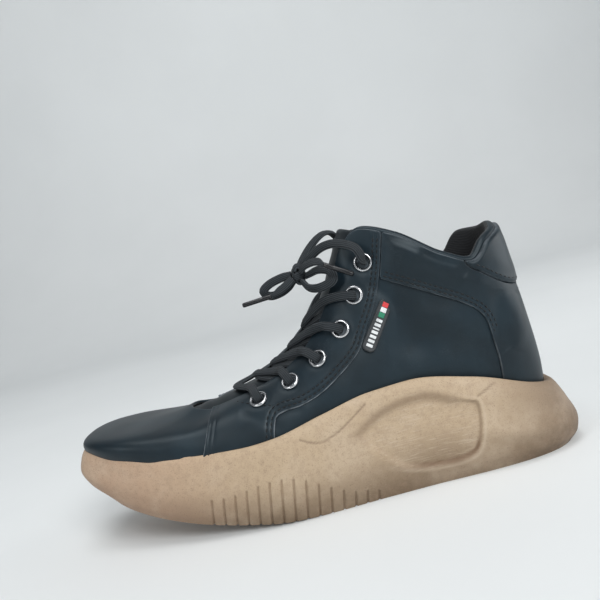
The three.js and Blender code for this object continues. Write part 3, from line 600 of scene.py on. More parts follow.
def makeGrain():
    # grain: small cells over soft waves, for leather, rubber and plastic
    grain, inputs, outputs = group(
        "surfaceGrain",
        [("Grain Scale", "NodeSocketFloat", 1500), ("Wave Scale", "NodeSocketFloat", 60),
         ("Wave Share", "NodeSocketFloat", 0.5)],
        [("Height", "NodeSocketFloat"), ("Variation", "NodeSocketFloat")])
    spot = coordinates(grain)
    cells = grain.nodes.new("ShaderNodeTexVoronoi")
    cells.feature = "SMOOTH_F1"
    grain.links.new(spot, cells.inputs["Vector"])
    grain.links.new(inputs.outputs["Grain Scale"], cells.inputs["Scale"])
    waves = noise(grain, spot, inputs.outputs["Wave Scale"], 4.0)
    both = math2(grain, "ADD", times(grain, waves, inputs.outputs["Wave Share"]),
                 times(grain, cells.outputs["Distance"], 0.35))
    grain.links.new(both, outputs.inputs["Height"])
    grain.links.new(waves, outputs.inputs["Variation"])
    return grain


def makeWear():
    # wear: pale dust and scuffs in patches, and pale where the edge mask is high, which marks cut edges and,
    # on the eyestays, a painted highlight
    wear, inputs, outputs = group(
        "dustScuffsAndEdgeHighlight",
        [("Colour", "NodeSocketColor", (0.1, 0.1, 0.1, 1)), ("Dust", "NodeSocketColor", (0.4, 0.4, 0.4, 1)),
         ("Amount", "NodeSocketFloat", 0.2), ("Patch Scale", "NodeSocketFloat", 40),
         ("Edge", "NodeSocketFloat", 0.0), ("Roughness", "NodeSocketFloat", 0.4)],
        [("Colour", "NodeSocketColor"), ("Roughness", "NodeSocketFloat")])
    spot = coordinates(wear)
    patches = ramp(wear, noise(wear, spot, inputs.outputs["Patch Scale"], 6.0, 0.65), 0.52, 0.78)
    fibres = ramp(wear, noise(wear, coordinates(wear, (1, 1, 4)), 900.0, 2.0), 0.45, 0.75)
    dusty = times(wear, times(wear, patches, fibres), inputs.outputs["Amount"])
    broken = ramp(wear, noise(wear, spot, 160.0, 3.0), 0.30, 0.62, 0.25, 1.0)
    total = math2(wear, "MAXIMUM", dusty, times(wear, inputs.outputs["Edge"], broken), True)
    dusted = mixColour(wear, total, inputs.outputs["Colour"], inputs.outputs["Dust"])
    rougher = math2(wear, "ADD", inputs.outputs["Roughness"], times(wear, total, 0.35), True)
    wear.links.new(dusted, outputs.inputs["Colour"])
    wear.links.new(rougher, outputs.inputs["Roughness"])
    return wear


def makeWeave():
    # weave: two crossing threads, for lace, lining and insole
    weave, inputs, outputs = group(
        "clothWeave", [("Thread Scale", "NodeSocketFloat", 900.0), ("Fuzz", "NodeSocketFloat", 0.3)],
        [("Height", "NodeSocketFloat")])
    threads = []
    for turned in ((0.4, 0.3, 0.78), (0.2, -0.5, -0.78)):
        wave = weave.nodes.new("ShaderNodeTexWave")
        wave.wave_profile = "SIN"
        wave.inputs["Distortion"].default_value = 0.6
        weave.links.new(coordinates(weave, (1, 1, 1), turned), wave.inputs["Vector"])
        weave.links.new(inputs.outputs["Thread Scale"], wave.inputs["Scale"])
        threads.append(wave.outputs["Fac"])
    crossed = math2(weave, "MAXIMUM", *threads)
    fuzz = times(weave, noise(weave, coordinates(weave), 2500.0, 2.0), inputs.outputs["Fuzz"])
    weave.links.new(math2(weave, "ADD", crossed, fuzz), outputs.inputs["Height"])
    return weave


grain, wear, weave = makeGrain(), makeWear(), makeWeave()
materials = {}


def base(name, colour, rough, metallic=0.0, specular=0.5, coat=0.0, coatRough=0.3, sheen=0.0):
    material = bpy.data.materials.new(name)
    material.use_nodes = True
    shader = material.node_tree.nodes["Principled BSDF"]
    for socket, value in (("Base Color", (*colour, 1)), ("Roughness", rough), ("Metallic", metallic),
                          ("Specular IOR Level", specular), ("Coat Weight", coat),
                          ("Coat Roughness", coatRough), ("Sheen Weight", sheen)):
        shader.inputs[socket].default_value = value
    material.diffuse_color = (*colour, 1)
    materials[name] = material
    return material.node_tree, shader


def use(tree, made, values):
    node = tree.nodes.new("ShaderNodeGroup")
    node.node_tree = made
    for name, value in values.items():
        feed(tree, node.inputs[name], value)
    return node


def dress(tree, shader, look, tone, height, patch, strength, depth, edge=0.0):
    worn = use(tree, wear, {"Colour": tone, "Dust": look["dust"], "Amount": look["amount"],
                            "Patch Scale": patch, "Edge": edge, "Roughness": look["rough"]})
    bump = tree.nodes.new("ShaderNodeBump")
    for name, value in (("Strength", strength), ("Distance", depth), ("Height", height)):
        feed(tree, bump.inputs[name], value)
    tree.links.new(worn.outputs["Colour"], shader.inputs["Base Color"])
    tree.links.new(worn.outputs["Roughness"], shader.inputs["Roughness"])
    tree.links.new(bump.outputs["Normal"], shader.inputs["Normal"])


def attribute(tree, name):
    node = tree.nodes.new("ShaderNodeAttribute")
    node.attribute_name = name
    return node.outputs["Fac"]


# leather: near black with a cool sheen, satin, pale where it is cut, with a painted highlight on the lower
# eyestay edges
leatherLooks = {
    "leather": {"colour": (0.0024, 0.0070, 0.0115), "light": (0.0055, 0.0140, 0.0215), "rough": 0.46,
                "dust": (0.26, 0.29, 0.32), "amount": 0.10, "waveShare": 0.55},
    "tongueLeather": {"colour": (0.0045, 0.0065, 0.0085), "light": (0.009, 0.012, 0.015), "rough": 0.52,
                      "dust": (0.24, 0.25, 0.27), "amount": 0.08, "waveShare": 0.9},
}


def makeLeathers(looks):
    for name, look in looks.items():
        tree, shader = base(name, look["colour"], look["rough"], specular=0.42, coat=0.05, coatRough=0.30)
        shader.inputs["Specular Tint"].default_value = (0.80, 0.94, 1.0, 1)
        surface = use(tree, grain, {"Grain Scale": 1500.0, "Wave Scale": 45.0,
                                    "Wave Share": look["waveShare"]})
        lighter = ramp(tree, surface.outputs["Variation"], 0.35, 0.7)
        tone = mixColour(tree, lighter, look["colour"], look["light"])
        dress(tree, shader, look, tone, surface.outputs["Height"], patch=38.0, strength=0.35, depth=0.00018,
              edge=attribute(tree, "cutEdgeAndHighlight"))


makeLeathers(leatherLooks)


# gum rubber: tan, darker and browner towards the tread (partly painted shade), pinkish at the toe, speckled
# and scratched, with painted shade at the heel, in the grooves and in the pocket, and a painted highlight on
# the pocket's rim
gumLook = {"colour": (0.470, 0.358, 0.240), "low": (0.130, 0.086, 0.052), "toe": (0.430, 0.278, 0.192),
           "heel": (0.150, 0.104, 0.070), "blotch": (0.300, 0.212, 0.145), "dust": (0.56, 0.46, 0.35),
           "speck": (0.15, 0.095, 0.062), "grooveShade": (0.13, 0.080, 0.048), "grimeAndShade": (0.17, 0.105, 0.062),
           "rough": 0.6, "amount": 0.35, "scratchTone": 0.55, "scratchDepth": -0.6, "rimHighlightTone": 0.4}


def makeGum(look):
    tree, shader = base("gumRubber", look["colour"], look["rough"], specular=0.35)
    spot = coordinates(tree)
    split = tree.nodes.new("ShaderNodeSeparateXYZ")
    tree.links.new(spot, split.inputs["Vector"])
    along = split.outputs["X"]
    cloud = noise(tree, spot, 34.0, 5.0, 0.6)
    upward = math2(tree, "ADD", attribute(tree, "upSide"), times(tree, cloud, 0.3))
    strokes = noise(tree, coordinates(tree, (0.10, 1, 1.5), (0, 0.24, 0)), 900.0, 4.0, 0.62)
    scratched = times(tree, ramp(tree, strokes, 0.50, 0.72), attribute(tree, "scratched"))
    tone = look["colour"]
    for share, over in (
            # painted shade: darker and browner low on the sole and under the tread, partly grime and partly
            # shade
            (ramp(tree, upward, 0.10, 0.80, 0.85, 0.0), "low"),
            (ramp(tree, along, 0.03, 0.14, 0.0, 0.75), "toe"),
            # painted shade: darker towards the heel
            (ramp(tree, along, -0.145, -0.078, 0.85, 0.0), "heel"),
            (ramp(tree, cloud, 0.42, 0.72, 0.0, 0.35), "dust"),
            (ramp(tree, noise(tree, spot, 260.0, 8.0, 0.80), 0.44, 0.68, 0.0, 0.42), "blotch"),
            (ramp(tree, noise(tree, spot, 1300.0, 3.0, 0.75), 0.53, 0.72, 0.0, 0.5), "speck"),
            (times(tree, scratched, look["scratchTone"]), "dust"),
            # painted highlight: the pale tone along the pocket's raised rim
            (times(tree, attribute(tree, "rimHighlight"), look["rimHighlightTone"]), "dust"),
            # painted shade, partly grime: dark along the pocket's inner edges and on its upper wall
            (attribute(tree, "grimeAndShade"), "grimeAndShade"),
            # painted shade in the sipes, the mould lines and, faintly, under the tread
            (attribute(tree, "grooveShade"), "grooveShade")):
        tone = mixColour(tree, share, tone, look[over])
    surface = use(tree, grain, {"Grain Scale": 1900.0, "Wave Scale": 260.0, "Wave Share": 0.6})
    height = math2(tree, "ADD", surface.outputs["Height"], times(tree, scratched, look["scratchDepth"]))
    dress(tree, shader, look, tone, height, patch=55.0, strength=0.4, depth=0.0002)


makeGum(gumLook)


# cloths: lace, lining, insole and thread
clothLooks = {
    # the lace's rib colour is a painted highlight on the ribs' crests
    "laceCloth": {"colour": (0.0022, 0.0030, 0.0042), "light": (0.005, 0.0065, 0.008), "rough": 0.8,
                  "scale": 1300.0, "depth": 0.00025, "dust": (0.18, 0.19, 0.21), "amount": 0.15,
                  "sheen": 0.05, "rib": 0.9, "ribHighlightColour": (0.070, 0.082, 0.092)},
    "liningMesh": {"colour": (0.008, 0.009, 0.010), "light": (0.028, 0.030, 0.033), "rough": 0.85,
                   "scale": 420.0, "depth": 0.0005, "dust": (0.2, 0.2, 0.2), "amount": 0.1, "sheen": 0.1},
    "insoleCloth": {"colour": (0.33, 0.33, 0.33), "light": (0.46, 0.46, 0.45), "rough": 0.9,
                    "scale": 700.0, "depth": 0.0003, "dust": (0.25, 0.24, 0.22), "amount": 0.3,
                    "sheen": 0.2},
    "thread": {"colour": (0.006, 0.007, 0.008), "light": (0.018, 0.020, 0.022), "rough": 0.55,
               "scale": 2500.0, "depth": 0.0001, "dust": (0.2, 0.2, 0.2), "amount": 0.05, "sheen": 0.1},
}


def makeCloths(looks):
    for name, look in looks.items():
        tree, shader = base(name, look["colour"], look["rough"], specular=0.2, sheen=look["sheen"])
        pattern = use(tree, weave, {"Thread Scale": look["scale"], "Fuzz": 0.5})
        tone = mixColour(tree, ramp(tree, pattern.outputs["Height"], 0.3, 1.3), look["colour"], look["light"])
        if "rib" in look:
            # painted highlight on the lace's rib crests
            tone = mixColour(tree, times(tree, attribute(tree, "rib"), look["rib"]), tone, look["ribHighlightColour"])
        dress(tree, shader, look, tone, pattern.outputs["Height"], patch=70.0, strength=0.6,
              depth=look["depth"])


makeCloths(clothLooks)


# hard and rubber pieces: eyelets, aglets, label and its raised bars
hardLooks = {
    "eyeletMetal": {"colour": (0.70, 0.71, 0.73), "rough": 0.22, "metallic": 1.0, "amount": 0.10},
    "agletPlastic": {"colour": (0.012, 0.013, 0.015), "rough": 0.25, "metallic": 0.0, "amount": 0.08},
    "labelRubber": {"colour": (0.036, 0.041, 0.045), "rough": 0.62, "metallic": 0.0, "amount": 0.12},
    "barWhite": {"colour": (0.74, 0.77, 0.78), "rough": 0.5, "metallic": 0.0, "amount": 0.05},
    "barRed": {"colour": (0.68, 0.045, 0.05), "rough": 0.5, "metallic": 0.0, "amount": 0.05},
    "barGreen": {"colour": (0.010, 0.22, 0.115), "rough": 0.5, "metallic": 0.0, "amount": 0.05},
}


def makeHard(looks):
    for name, look in looks.items():
        tree, shader = base(name, look["colour"], look["rough"], metallic=look["metallic"])
        surface = use(tree, grain, {"Grain Scale": 2600.0, "Wave Scale": 180.0, "Wave Share": 0.4})
        darker = tuple(v * 0.8 for v in look["colour"])
        tone = mixColour(tree, ramp(tree, surface.outputs["Variation"], 0.35, 0.65), darker, look["colour"])
        dress(tree, shader, {"dust": (0.4, 0.4, 0.4), **look}, tone, surface.outputs["Height"],
              patch=120.0, strength=0.2, depth=0.0001)


makeHard(hardLooks)


def makePaper():
    # floor: pale paper with faint clouds and a few grey flecks
    tree, shader = base("floorPaper", (0.76, 0.79, 0.80), 0.85, specular=0.2)
    spot = coordinates(tree)
    clouds = ramp(tree, noise(tree, spot, 3.0, 4.0), 0.3, 0.7)
    paper = mixColour(tree, clouds, (0.76, 0.785, 0.79), (0.785, 0.81, 0.815))
    flecks = ramp(tree, noise(tree, spot, 60.0, 2.0), 0.78, 0.84, 0.0, 0.5)
    tree.links.new(mixColour(tree, flecks, paper, (0.35, 0.35, 0.34)), shader.inputs["Base Color"])


makePaper()
print("materials made")


# Pieces of the lace

def circleOf(across, up, count):
    angle = np.linspace(0, 2 * math.pi, count, endpoint=False)[:, None]
    return across * np.cos(angle) + up * np.sin(angle)


def laceMesh(name, points, faces, node):
    piece = makeMesh(name, points, faces, [materials["laceCloth"]])
    # marks the rib crests for the painted highlight
    mark(piece, "rib", ribHighlight(len(points)))
    return place(piece, "lace_cloth", node)


def looseLace(name, route, facings, node, narrow):
    points, faces, line = laceTube(route, facings, narrowEnds=narrow)
    laceMesh(name, points, faces, node)


def makeKnot(values):
    turns = []
    for turn in values["knotTurns"]:
        angle = np.linspace(turn["start"], turn["start"] + 2 * math.pi * turn["turns"], turn["count"])
        circle = np.stack([np.cos(angle), np.sin(angle), np.sin(angle)], 1)
        route = circle * turn["radii"] + np.linspace(turn["from"], turn["to"], turn["count"]) + values["knot"]
        turns.append(laceTube(route, circle * turn["facing"])[:2])
    return laceMesh("laceKnot", *joinParts(turns), "lace_knot")


def agletAxis(name):
    start, aim = [np.array(p, float) for p in laceValues["aglets"][name]]
    return start, unit(aim - start)


def makeAglet(name, values):
    start, along = agletAxis(name)
    across = unit(np.cross(along, [0, 0, 1.0]))
    up = np.cross(across, along) * values["agletFlat"]
    circle = circleOf(across, up, values["agletAround"]) * sizes["agletDiameter"] / 2
    rings = [start + along * sizes["agletLength"] * at + circle * wide for at, wide in values["agletProfile"]]
    piece = makeMesh(f"aglet_{name}_tip", np.vstack(rings), tubeFaces(len(rings), values["agletAround"]),
                     [materials["agletPlastic"]], sharp=50)
    return place(piece, "aglet_plastic", f"aglet_{name}")


def makeLooseEnd(name, route, values):
    # the strand narrows into its aglet, and its line runs on to near the aglet's tip
    start, along = agletAxis(name)
    inside = [start + along * (sizes["agletLength"] * share) for share in values["inAglet"]]
    line, share = evenly([*route, *inside], values["step"])
    up, across = laceFrame(line, facingAt([values["endFacing"]] * 3, share))
    distance = np.linalg.norm(line - start, axis=1)
    inAglet = np.arange(len(line)) > np.argmin(distance)
    ease = np.where(inAglet, 0, smoothStep(distance, 0, values["endTaper"]))
    half = values["endHalf"] + (sizes["laceWidth"] / 2 - values["endHalf"]) * ease
    fat = values["endFat"] + (sizes["laceThickness"] / 2 - values["endFat"]) * ease
    angle = np.linspace(0, 2 * math.pi, values["around"], endpoint=False)
    rib = 1 + values["ribDepth"] * np.cos(math.pi * np.cos(angle) * values["ribs"])
    points = laceRings(line, across, np.cos(angle) * half[:, None], up, np.sin(angle) * rib * fat[:, None])
    piece = laceMesh(f"lace_end_{name}_strand", points, tubeFaces(len(line), values["around"]),
                     f"lace_end_{name}")


def makeLaces(values):
    knot = makeKnot(values)
    aglets = {name: makeAglet(name, values) for name in values["aglets"]}
    knotCentre = np.array(values["knot"])
    for name, side in sides.items():
        seat, normal = eyeletSeat(5, side, overlayTop)
        route = [seat - normal * values["belowEyelet"], *np.array(values["runs"][name], float)]
        route[-1] = route[-1] + (knotCentre - route[-1]) * values["towardsKnot"]
        route.append(knotCentre + values["intoKnot"])
        looseLace(f"lace_{name}", route, values["runFacings"][name], f"lace_run_{name}",
                  values["runEnds"])
    for name, route in values["loops"].items():
        looseLace(f"lace_bow_{name}", route, values["loopFacings"][name], f"lace_loop_{name}",
                  values["loopEnds"])
    for name, route in values["ends"].items():
        makeLooseEnd(name, np.array(route, float), values)

    # the laced part: the bar over the toe end and four crossings
    laceMesh("laceBar", *laceTube(*barPath())[:2], "lace_bar")
    for index in range(1, 5):
        strands = [strandPath(index, side, raiseBy) for side, raiseBy in ((1, sizes["crossRaise"]), (-1, 0))]
        points, faces = joinParts([laceTube(*strand)[:2] for strand in strands])
        laceMesh(f"laceCross{index}", points, faces, f"lace_cross_{index}")


makeLaces(laceValues)
print("laces made")


# Creases of the leather: soft troughs and ridges along lines seen from the side

creaseValues = [
    # line in mm as (x, z), depth in mm (a ridge is negative), width
    {"line": [(-44, 80), (-58, 80), (-76, 77), (-90, 74), (-102, 70)], "depth": 1.2, "width": 8.5},
    {"line": [(-54, 93), (-68, 91), (-84, 88), (-98, 82)], "depth": -0.6, "width": 7},
    {"line": [(-50, 66), (-70, 62), (-92, 60)], "depth": -0.4, "width": 6},
    {"line": [(-112, 96), (-110, 84), (-109, 72), (-112, 62)], "depth": 1.5, "width": 5},
    {"line": [(-124, 92), (-124, 80), (-122, 70), (-116, 60)], "depth": -1.0, "width": 5},
    {"line": [(-56, 138), (-66, 134), (-76, 126)], "depth": -0.6, "width": 5},
    {"line": [(-72, 124), (-82, 117), (-94, 106)], "depth": 0.9, "width": 5},
    {"line": [(22, 50), (34, 58), (44, 62)], "depth": 0.5, "width": 2.6},
    {"line": [(8, 58), (22, 60), (30, 56)], "depth": 0.45, "width": 2.2},
    {"line": [(74, 74), (86, 77), (98, 75)], "depth": 0.35, "width": 2.0},
    {"line": [(70, 70), (84, 71), (96, 70)], "depth": 0.3, "width": 1.6},
    {"line": [(-40, 118), (-52, 108), (-56, 98)], "depth": 0.5, "width": 3.5},
    {"line": [(-14, 76), (-4, 66), (8, 60)], "depth": 0.4, "width": 2.4},
]


def lineDistance(x, z, line):
    best, share = np.full(np.shape(x), 1e9), np.zeros(np.shape(x))
    p = np.asarray(line, float)
    for i in range(len(p) - 1):
        step = p[i + 1] - p[i]
        t = np.clip(((x - p[i, 0]) * step[0] + (z - p[i, 1]) * step[1]) / (step @ step), 0, 1)
        d = np.hypot(x - p[i, 0] - step[0] * t, z - p[i, 1] - step[1] * t)
        share = np.where(d < best, (i + t) / (len(p) - 1), share)
        best = np.minimum(best, d)
    return best, share


for crease in creaseValues:
    crease["smooth"] = splineThrough(crease["line"], 16)


def leatherGive(point):
    give = np.zeros(point.shape[:-1])
    x, y, z = point[..., 0], point[..., 1], point[..., 2]
    for crease in creaseValues:
        distance, share = lineDistance(x, z, crease["smooth"])
        ends = np.sin(np.clip(share, 0, 1) * math.pi) ** 0.6
        shape = bell(distance, 0, crease["width"]) * ends
        give -= crease["depth"] * shape * (y != 0)  # none on the centre line itself
    give += 0.16 * np.sin(x / 7.3 + y / 11) * np.sin(z / 8.1 + 1.3)
    give += 0.10 * np.sin(x / 3.9 + 2) * np.sin(z / 4.7 + y / 9)
    return give * smoothStep(z, 30, 50)


def leatherPoint(turn, climb, offset):
    turn, climb = np.broadcast_arrays(np.asarray(turn, float), np.asarray(climb, float))
    skin, normal = skinAt(turn, climb), skinNormal(turn, climb)
    fade = (1 - smoothStep(climb, 0.97, 1.0)) * smoothStep(climb, 0.02, 0.22)
    return skin + normal * (np.asarray(offset) + leatherGive(skin) * fade)[..., None]


# Outlines of the overlays in the side view

def seamLine(points, count):
    return seen(splineThrough(points, count))


rearLine, frontLine = seamLine(eyestayRear, 52), seamLine(eyestayFront, 16)
collarLine, tabLine = seamLine(collarSeam, 36), seamLine(tabEdge, 24)
eyestayOutline = np.vstack([rearLine, frontLine, seen([(0.05, 1.2), (-0.191, 1.2)])])
overlap = 0.35
collarFront = rearLine[rearLine[:, 1] > collarLine[0, 1] + 1] - np.array([overlap, 0])
collarOutline = np.vstack([collarLine, seen([(-0.55, 0.0), (-0.55, 1.2), (-0.1922, 1.2)]), collarFront])
tabOutline = np.vstack([tabLine, seen([(-0.52, 1.2), (-0.324, 1.2)])])


def signedDistance(x, z, polygon):
    best, inside = np.full(np.shape(x), 1e9), np.zeros(np.shape(x), bool)
    for a, b in zip(polygon, np.roll(polygon, -1, axis=0)):
        step = b - a
        if step @ step < 1e-12:
            continue
        t = np.clip(((x - a[0]) * step[0] + (z - a[1]) * step[1]) / (step @ step), 0, 1)
        best = np.minimum(best, np.hypot(x - a[0] - step[0] * t, z - a[1] - step[1] * t))
        if abs(step[1]) > 1e-12:
            crossing = a[0] + (z - a[1]) / step[1] * step[0]
            inside ^= ((a[1] > z) != (b[1] > z)) & (x < crossing)
    return np.where(inside, best, -best)


def splitAt(params, triangles, values, at):
    v = values - at
    v = np.where(np.abs(v) < 1e-4, -1e-4, v)
    above = v[triangles] > 0
    mixed = (above.sum(1) == 1) | (above.sum(1) == 2)
    whole, cut, state = triangles[~mixed], triangles[mixed], above[mixed]
    odd = np.where(state.sum(1) == 1, state.argmax(1), (~state).argmax(1))
    cut = np.stack([cut[np.arange(len(cut)), (odd + k) % 3] for k in range(3)], 1)
    keys = np.sort(np.concatenate([cut[:, [0, 1]], cut[:, [0, 2]]]), 1)
    unique, inverse = np.unique(keys, axis=0, return_inverse=True)
    a, b = v[unique[:, 0]], v[unique[:, 1]]
    share = (a / (a - b))[:, None]
    made = params[unique[:, 0]] * (1 - share) + params[unique[:, 1]] * share
    ids = len(params) + inverse.ravel()
    p, q = ids[:len(cut)], ids[len(cut):]
    o, m, n = cut.T
    parts = [whole, np.stack([o, p, q], 1), np.stack([p, m, n], 1), np.stack([p, n, q], 1)]
    return np.vstack([params, made]), np.vstack(parts)


def makeOverlay(name, turnSpan, climbSpan, steps, distance, height, low, levels, materials, extraSplits=()):
    turn, climb = np.linspace(*turnSpan, steps[0]), np.linspace(*climbSpan, steps[1])
    params = np.stack(np.meshgrid(turn, climb, indexing="ij"), -1).reshape(-1, 2)
    i, j = np.meshgrid(np.arange(steps[0] - 1), np.arange(steps[1] - 1), indexing="ij")
    a = (i * steps[1] + j).ravel()
    b, c, d = a + steps[1], a + steps[1] + 1, a + 1
    triangles = np.vstack([np.stack([a, b, c], 1), np.stack([a, c, d], 1)])
    rough = distance(params)
    near = (rough[triangles] > -3).any(1)
    triangles = triangles[near]
    for at in levels:
        params, triangles = splitAt(params, triangles, distance(params), at)
        if at == levels[0]:
            triangles = triangles[distance(params)[triangles].mean(1) > 0]
    for other, at in extraSplits:
        params, triangles = splitAt(params, triangles, other(params), at)
    used, triangles = np.unique(triangles, return_inverse=True)
    triangles = triangles.reshape(-1, 3)
    params = params[used]
    d = np.maximum(distance(params), 0)
    top = leatherPoint(params[:, 0], params[:, 1], height(d, params))
    bottom = leatherPoint(params[:, 0], params[:, 1], np.full(len(params), low))
    count = len(params)
    directed = np.vstack([triangles[:, [0, 1]], triangles[:, [1, 2]], triangles[:, [2, 0]]])
    code, back = directed[:, 0] * count + directed[:, 1], directed[:, 1] * count + directed[:, 0]
    rim = directed[~np.isin(code, back)]
    walls = np.stack([rim[:, 1], rim[:, 0], rim[:, 0] + count, rim[:, 1] + count], 1)
    faces = triangles.tolist() + (triangles[:, ::-1] + count).tolist() + walls.tolist()
    piece = makeMesh(name, np.vstack([top, bottom]), faces, materials, sharp=48)
    return piece, d, params


eyeletPlaces = list(zip(eyeletTable["row"], eyeletTable["climb"]))
eyeletCentres = {side: [skinAt(turnOf(row, side), climb) for row, climb in eyeletPlaces] for side in (1, -1)}


def eyeletDistance(point, side):
    return np.min([np.linalg.norm(point - centre, axis=-1) for centre in eyeletCentres[side]], axis=0)


def edgeDistance(params):
    # how far a place is from the shell's upper edge, in mm
    turn, climb = params.T
    below = skinAt(turn, 1.0) - skinAt(turn, 0.96)
    return (1 - climb) * (np.linalg.norm(below, axis=-1) / 0.04) + 1e-3


def sideDistance(params, outline):
    point = skinAt(params[:, 0], params[:, 1])
    return signedDistance(point[:, 0], point[:, 2], outline)


# Upper: the shell with its padded collar and lining

shellValues = {"around": 460, "climbs": 76, "insideClimbs": 34, "roll": 9, "pit": 3.8, "pitDepth": 1.9}


def makeShell(values):
    turn = np.arange(values["around"]) / values["around"]
    rings = []
    for climb in np.linspace(0, 1, values["climbs"]):
        near = np.min([eyeletDistance(skinAt(turn, climb), side) for side in sides.values()], axis=0)
        pits = values["pitDepth"] * (1 - smoothStep(near, values["pit"] - 0.5, values["pit"] + 0.4))
        rings.append(leatherPoint(turn, climb, -pits))
    outer, normal = skinAt(turn, 1.0), skinNormal(turn, 1.0)
    rise = unit(outer - skinAt(turn, 0.97))
    wall = wallAt(turn, 1.0)[:, None]
    for k in range(1, values["roll"]):
        angle = math.pi * k / values["roll"]
        rings.append(outer - normal * wall * (1 - math.cos(angle)) / 2 + rise * wall * math.sin(angle) * 0.42)
    outsideRings = len(rings) - values["roll"] // 2
    for climb in np.linspace(1, 0, values["insideClimbs"]):
        rings.append(skinPoint(turn, climb, -wallAt(turn, climb)))
    rings.append(rings[0])
    points = np.vstack(rings[:-1])
    count, around = len(rings) - 1, values["around"]
    faces = ringFaces(count + 1, around)
    faces = np.where(faces >= count * around, faces - count * around, faces)
    bands = faces.min(1) // around
    piece = makeMesh("upperShell", points, faces, [materials["leather"], materials["liningMesh"]],
                     faceMaterials=(bands >= outsideRings).astype(int))
    mark(piece, "cutEdgeAndHighlight", np.zeros(len(points)))
    return place(piece, "leather", "upper")


makeShell(shellValues)
print("upper made")


# Overlays: eyestays, collar panel and heel tab

overlayValues = {"edgeRound": 0.55, "lowShare": 0.5, "pit": 3.8, "pitDepth": 3.0, "pressed": 0.35,
                 "pressedRing": 5.6, "pressedWidth": 1.6, "stitchRows": (1.9, 4.3), "channel": 0.22,
                 "channelWidth": 0.5, "seamGap": 0.25, "collarPad": 1.1, "tabRound": 2.6, "tabPuff": 0.5}


def roundedTop(d, full, edgeRound, keep=0.45):
    rise = np.clip(d / edgeRound, 0, 1)
    return full * (keep + (1 - keep) * np.sqrt(1 - (1 - rise) ** 2))


def stitchedTop(d, seam, values):
    body = sizes["clearance"] + roundedTop(d, sizes["overlay"], values["edgeRound"])
    for row in values["stitchRows"]:
        body = body - values["channel"] * bell(seam, row, values["channelWidth"])
    return body


def makeLeatherOverlay(name, turnSpan, climbSpan, steps, distance, height, levels, extraSplits=()):
    low = sizes["clearance"] * overlayValues["lowShare"]
    return makeOverlay(name, turnSpan, climbSpan, steps, distance, height, low, levels,
                       [materials["leather"]], extraSplits)


def makeEyestays(values):
    pitEdge = (values["pit"] - 0.3, values["pit"] + 0.1)
    for name, side in sides.items():
        span = (0.055, 0.345) if side > 0 else (0.655, 0.945)

        def distance(params):
            return np.minimum(sideDistance(params, eyestayOutline), edgeDistance(params))

        def fromEyelet(params, side=side):
            return eyeletDistance(skinAt(params[:, 0], params[:, 1]), side)

        def height(d, params):
            near = fromEyelet(params)
            pressed = values["pressed"] * bell(near, values["pressedRing"], values["pressedWidth"])
            pit = values["pitDepth"] * (1 - smoothStep(near, *pitEdge))
            return stitchedTop(d, sideDistance(params, eyestayOutline), values) - pressed - pit

        levels = [0.0, 0.2, values["edgeRound"], 1.4, 1.9, 2.4, 3.8, 4.3, 4.8]
        piece, d, params = makeLeatherOverlay(f"eyestayPanel_{name}", span, (0.06, 1.0), (176, 74), distance,
                                              height, levels, [(fromEyelet, at) for at in pitEdge])
        top = 1 - smoothStep(d, 0.05, values["edgeRound"])
        where = skinAt(params[:, 0], params[:, 1])
        # painted highlight, partly: the pale cut edge is stronger low on the eyestay
        shown = 0.35 + 0.6 * (1 - smoothStep(where[:, 2], 66, 96))
        mark(piece, "cutEdgeAndHighlight", np.concatenate([top * shown, shown]))
        place(piece, "leather", f"eyestay_{name}")


makeEyestays(overlayValues)
print("eyestays made")


def makeCollar(values):
    def distance(params):
        panel, tab = sideDistance(params, collarOutline), sideDistance(params, tabOutline)
        return np.minimum(np.minimum(panel, -tab - values["seamGap"]), edgeDistance(params))

    def height(d, params):
        point, climb = skinAt(params[:, 0], params[:, 1]), params[:, 1]
        seam, _ = lineDistance(point[:, 0], point[:, 2], collarLine[:22])
        padded = values["collarPad"] * smoothStep(climb, 0.72, 0.9) * (1 - smoothStep(climb, 0.93, 1.0))
        return stitchedTop(d, seam, values) + padded * smoothStep(d, 1, 8)

    levels = [0.0, 0.2, values["edgeRound"], *values["stitchRows"]]
    piece, d, _ = makeLeatherOverlay("collarPanel", (0.305, 0.695), (0.06, 1.0), (190, 84), distance, height,
                                     levels)
    top = 1 - smoothStep(d, 0.05, values["edgeRound"])
    mark(piece, "cutEdgeAndHighlight", np.concatenate([top, np.ones_like(d)]) * 0.4)
    place(piece, "leather", "collar_panel")


makeCollar(overlayValues)
print("collar made")


def makeTab(values):
    def distance(params):
        return np.minimum(sideDistance(params, tabOutline), edgeDistance(params))

    def height(d, params):
        rounded = roundedTop(d, sizes["tab"] - 0.4, values["tabRound"], 0.3)
        return sizes["clearance"] + rounded + values["tabPuff"] * smoothStep(d, 1.5, 10)

    piece, d, _ = makeLeatherOverlay("heelTab", (0.39, 0.61), (0.5, 1.0), (110, 54), distance, height,
                                     [0.0, 0.3, 0.8, 1.6, values["tabRound"]])
    mark(piece, "cutEdgeAndHighlight", np.concatenate([(1 - smoothStep(d, 0.05, 0.5)) * 0.3, np.full_like(d, 0.2)]))
    place(piece, "leather", "heel_tab")


makeTab(overlayValues)
print("heel tab made")


# Places on the skin of points in the side view, for stitches and the label

def seenAt(turn, climb):
    return skinAt(turn, climb)[:, [0, 2]]


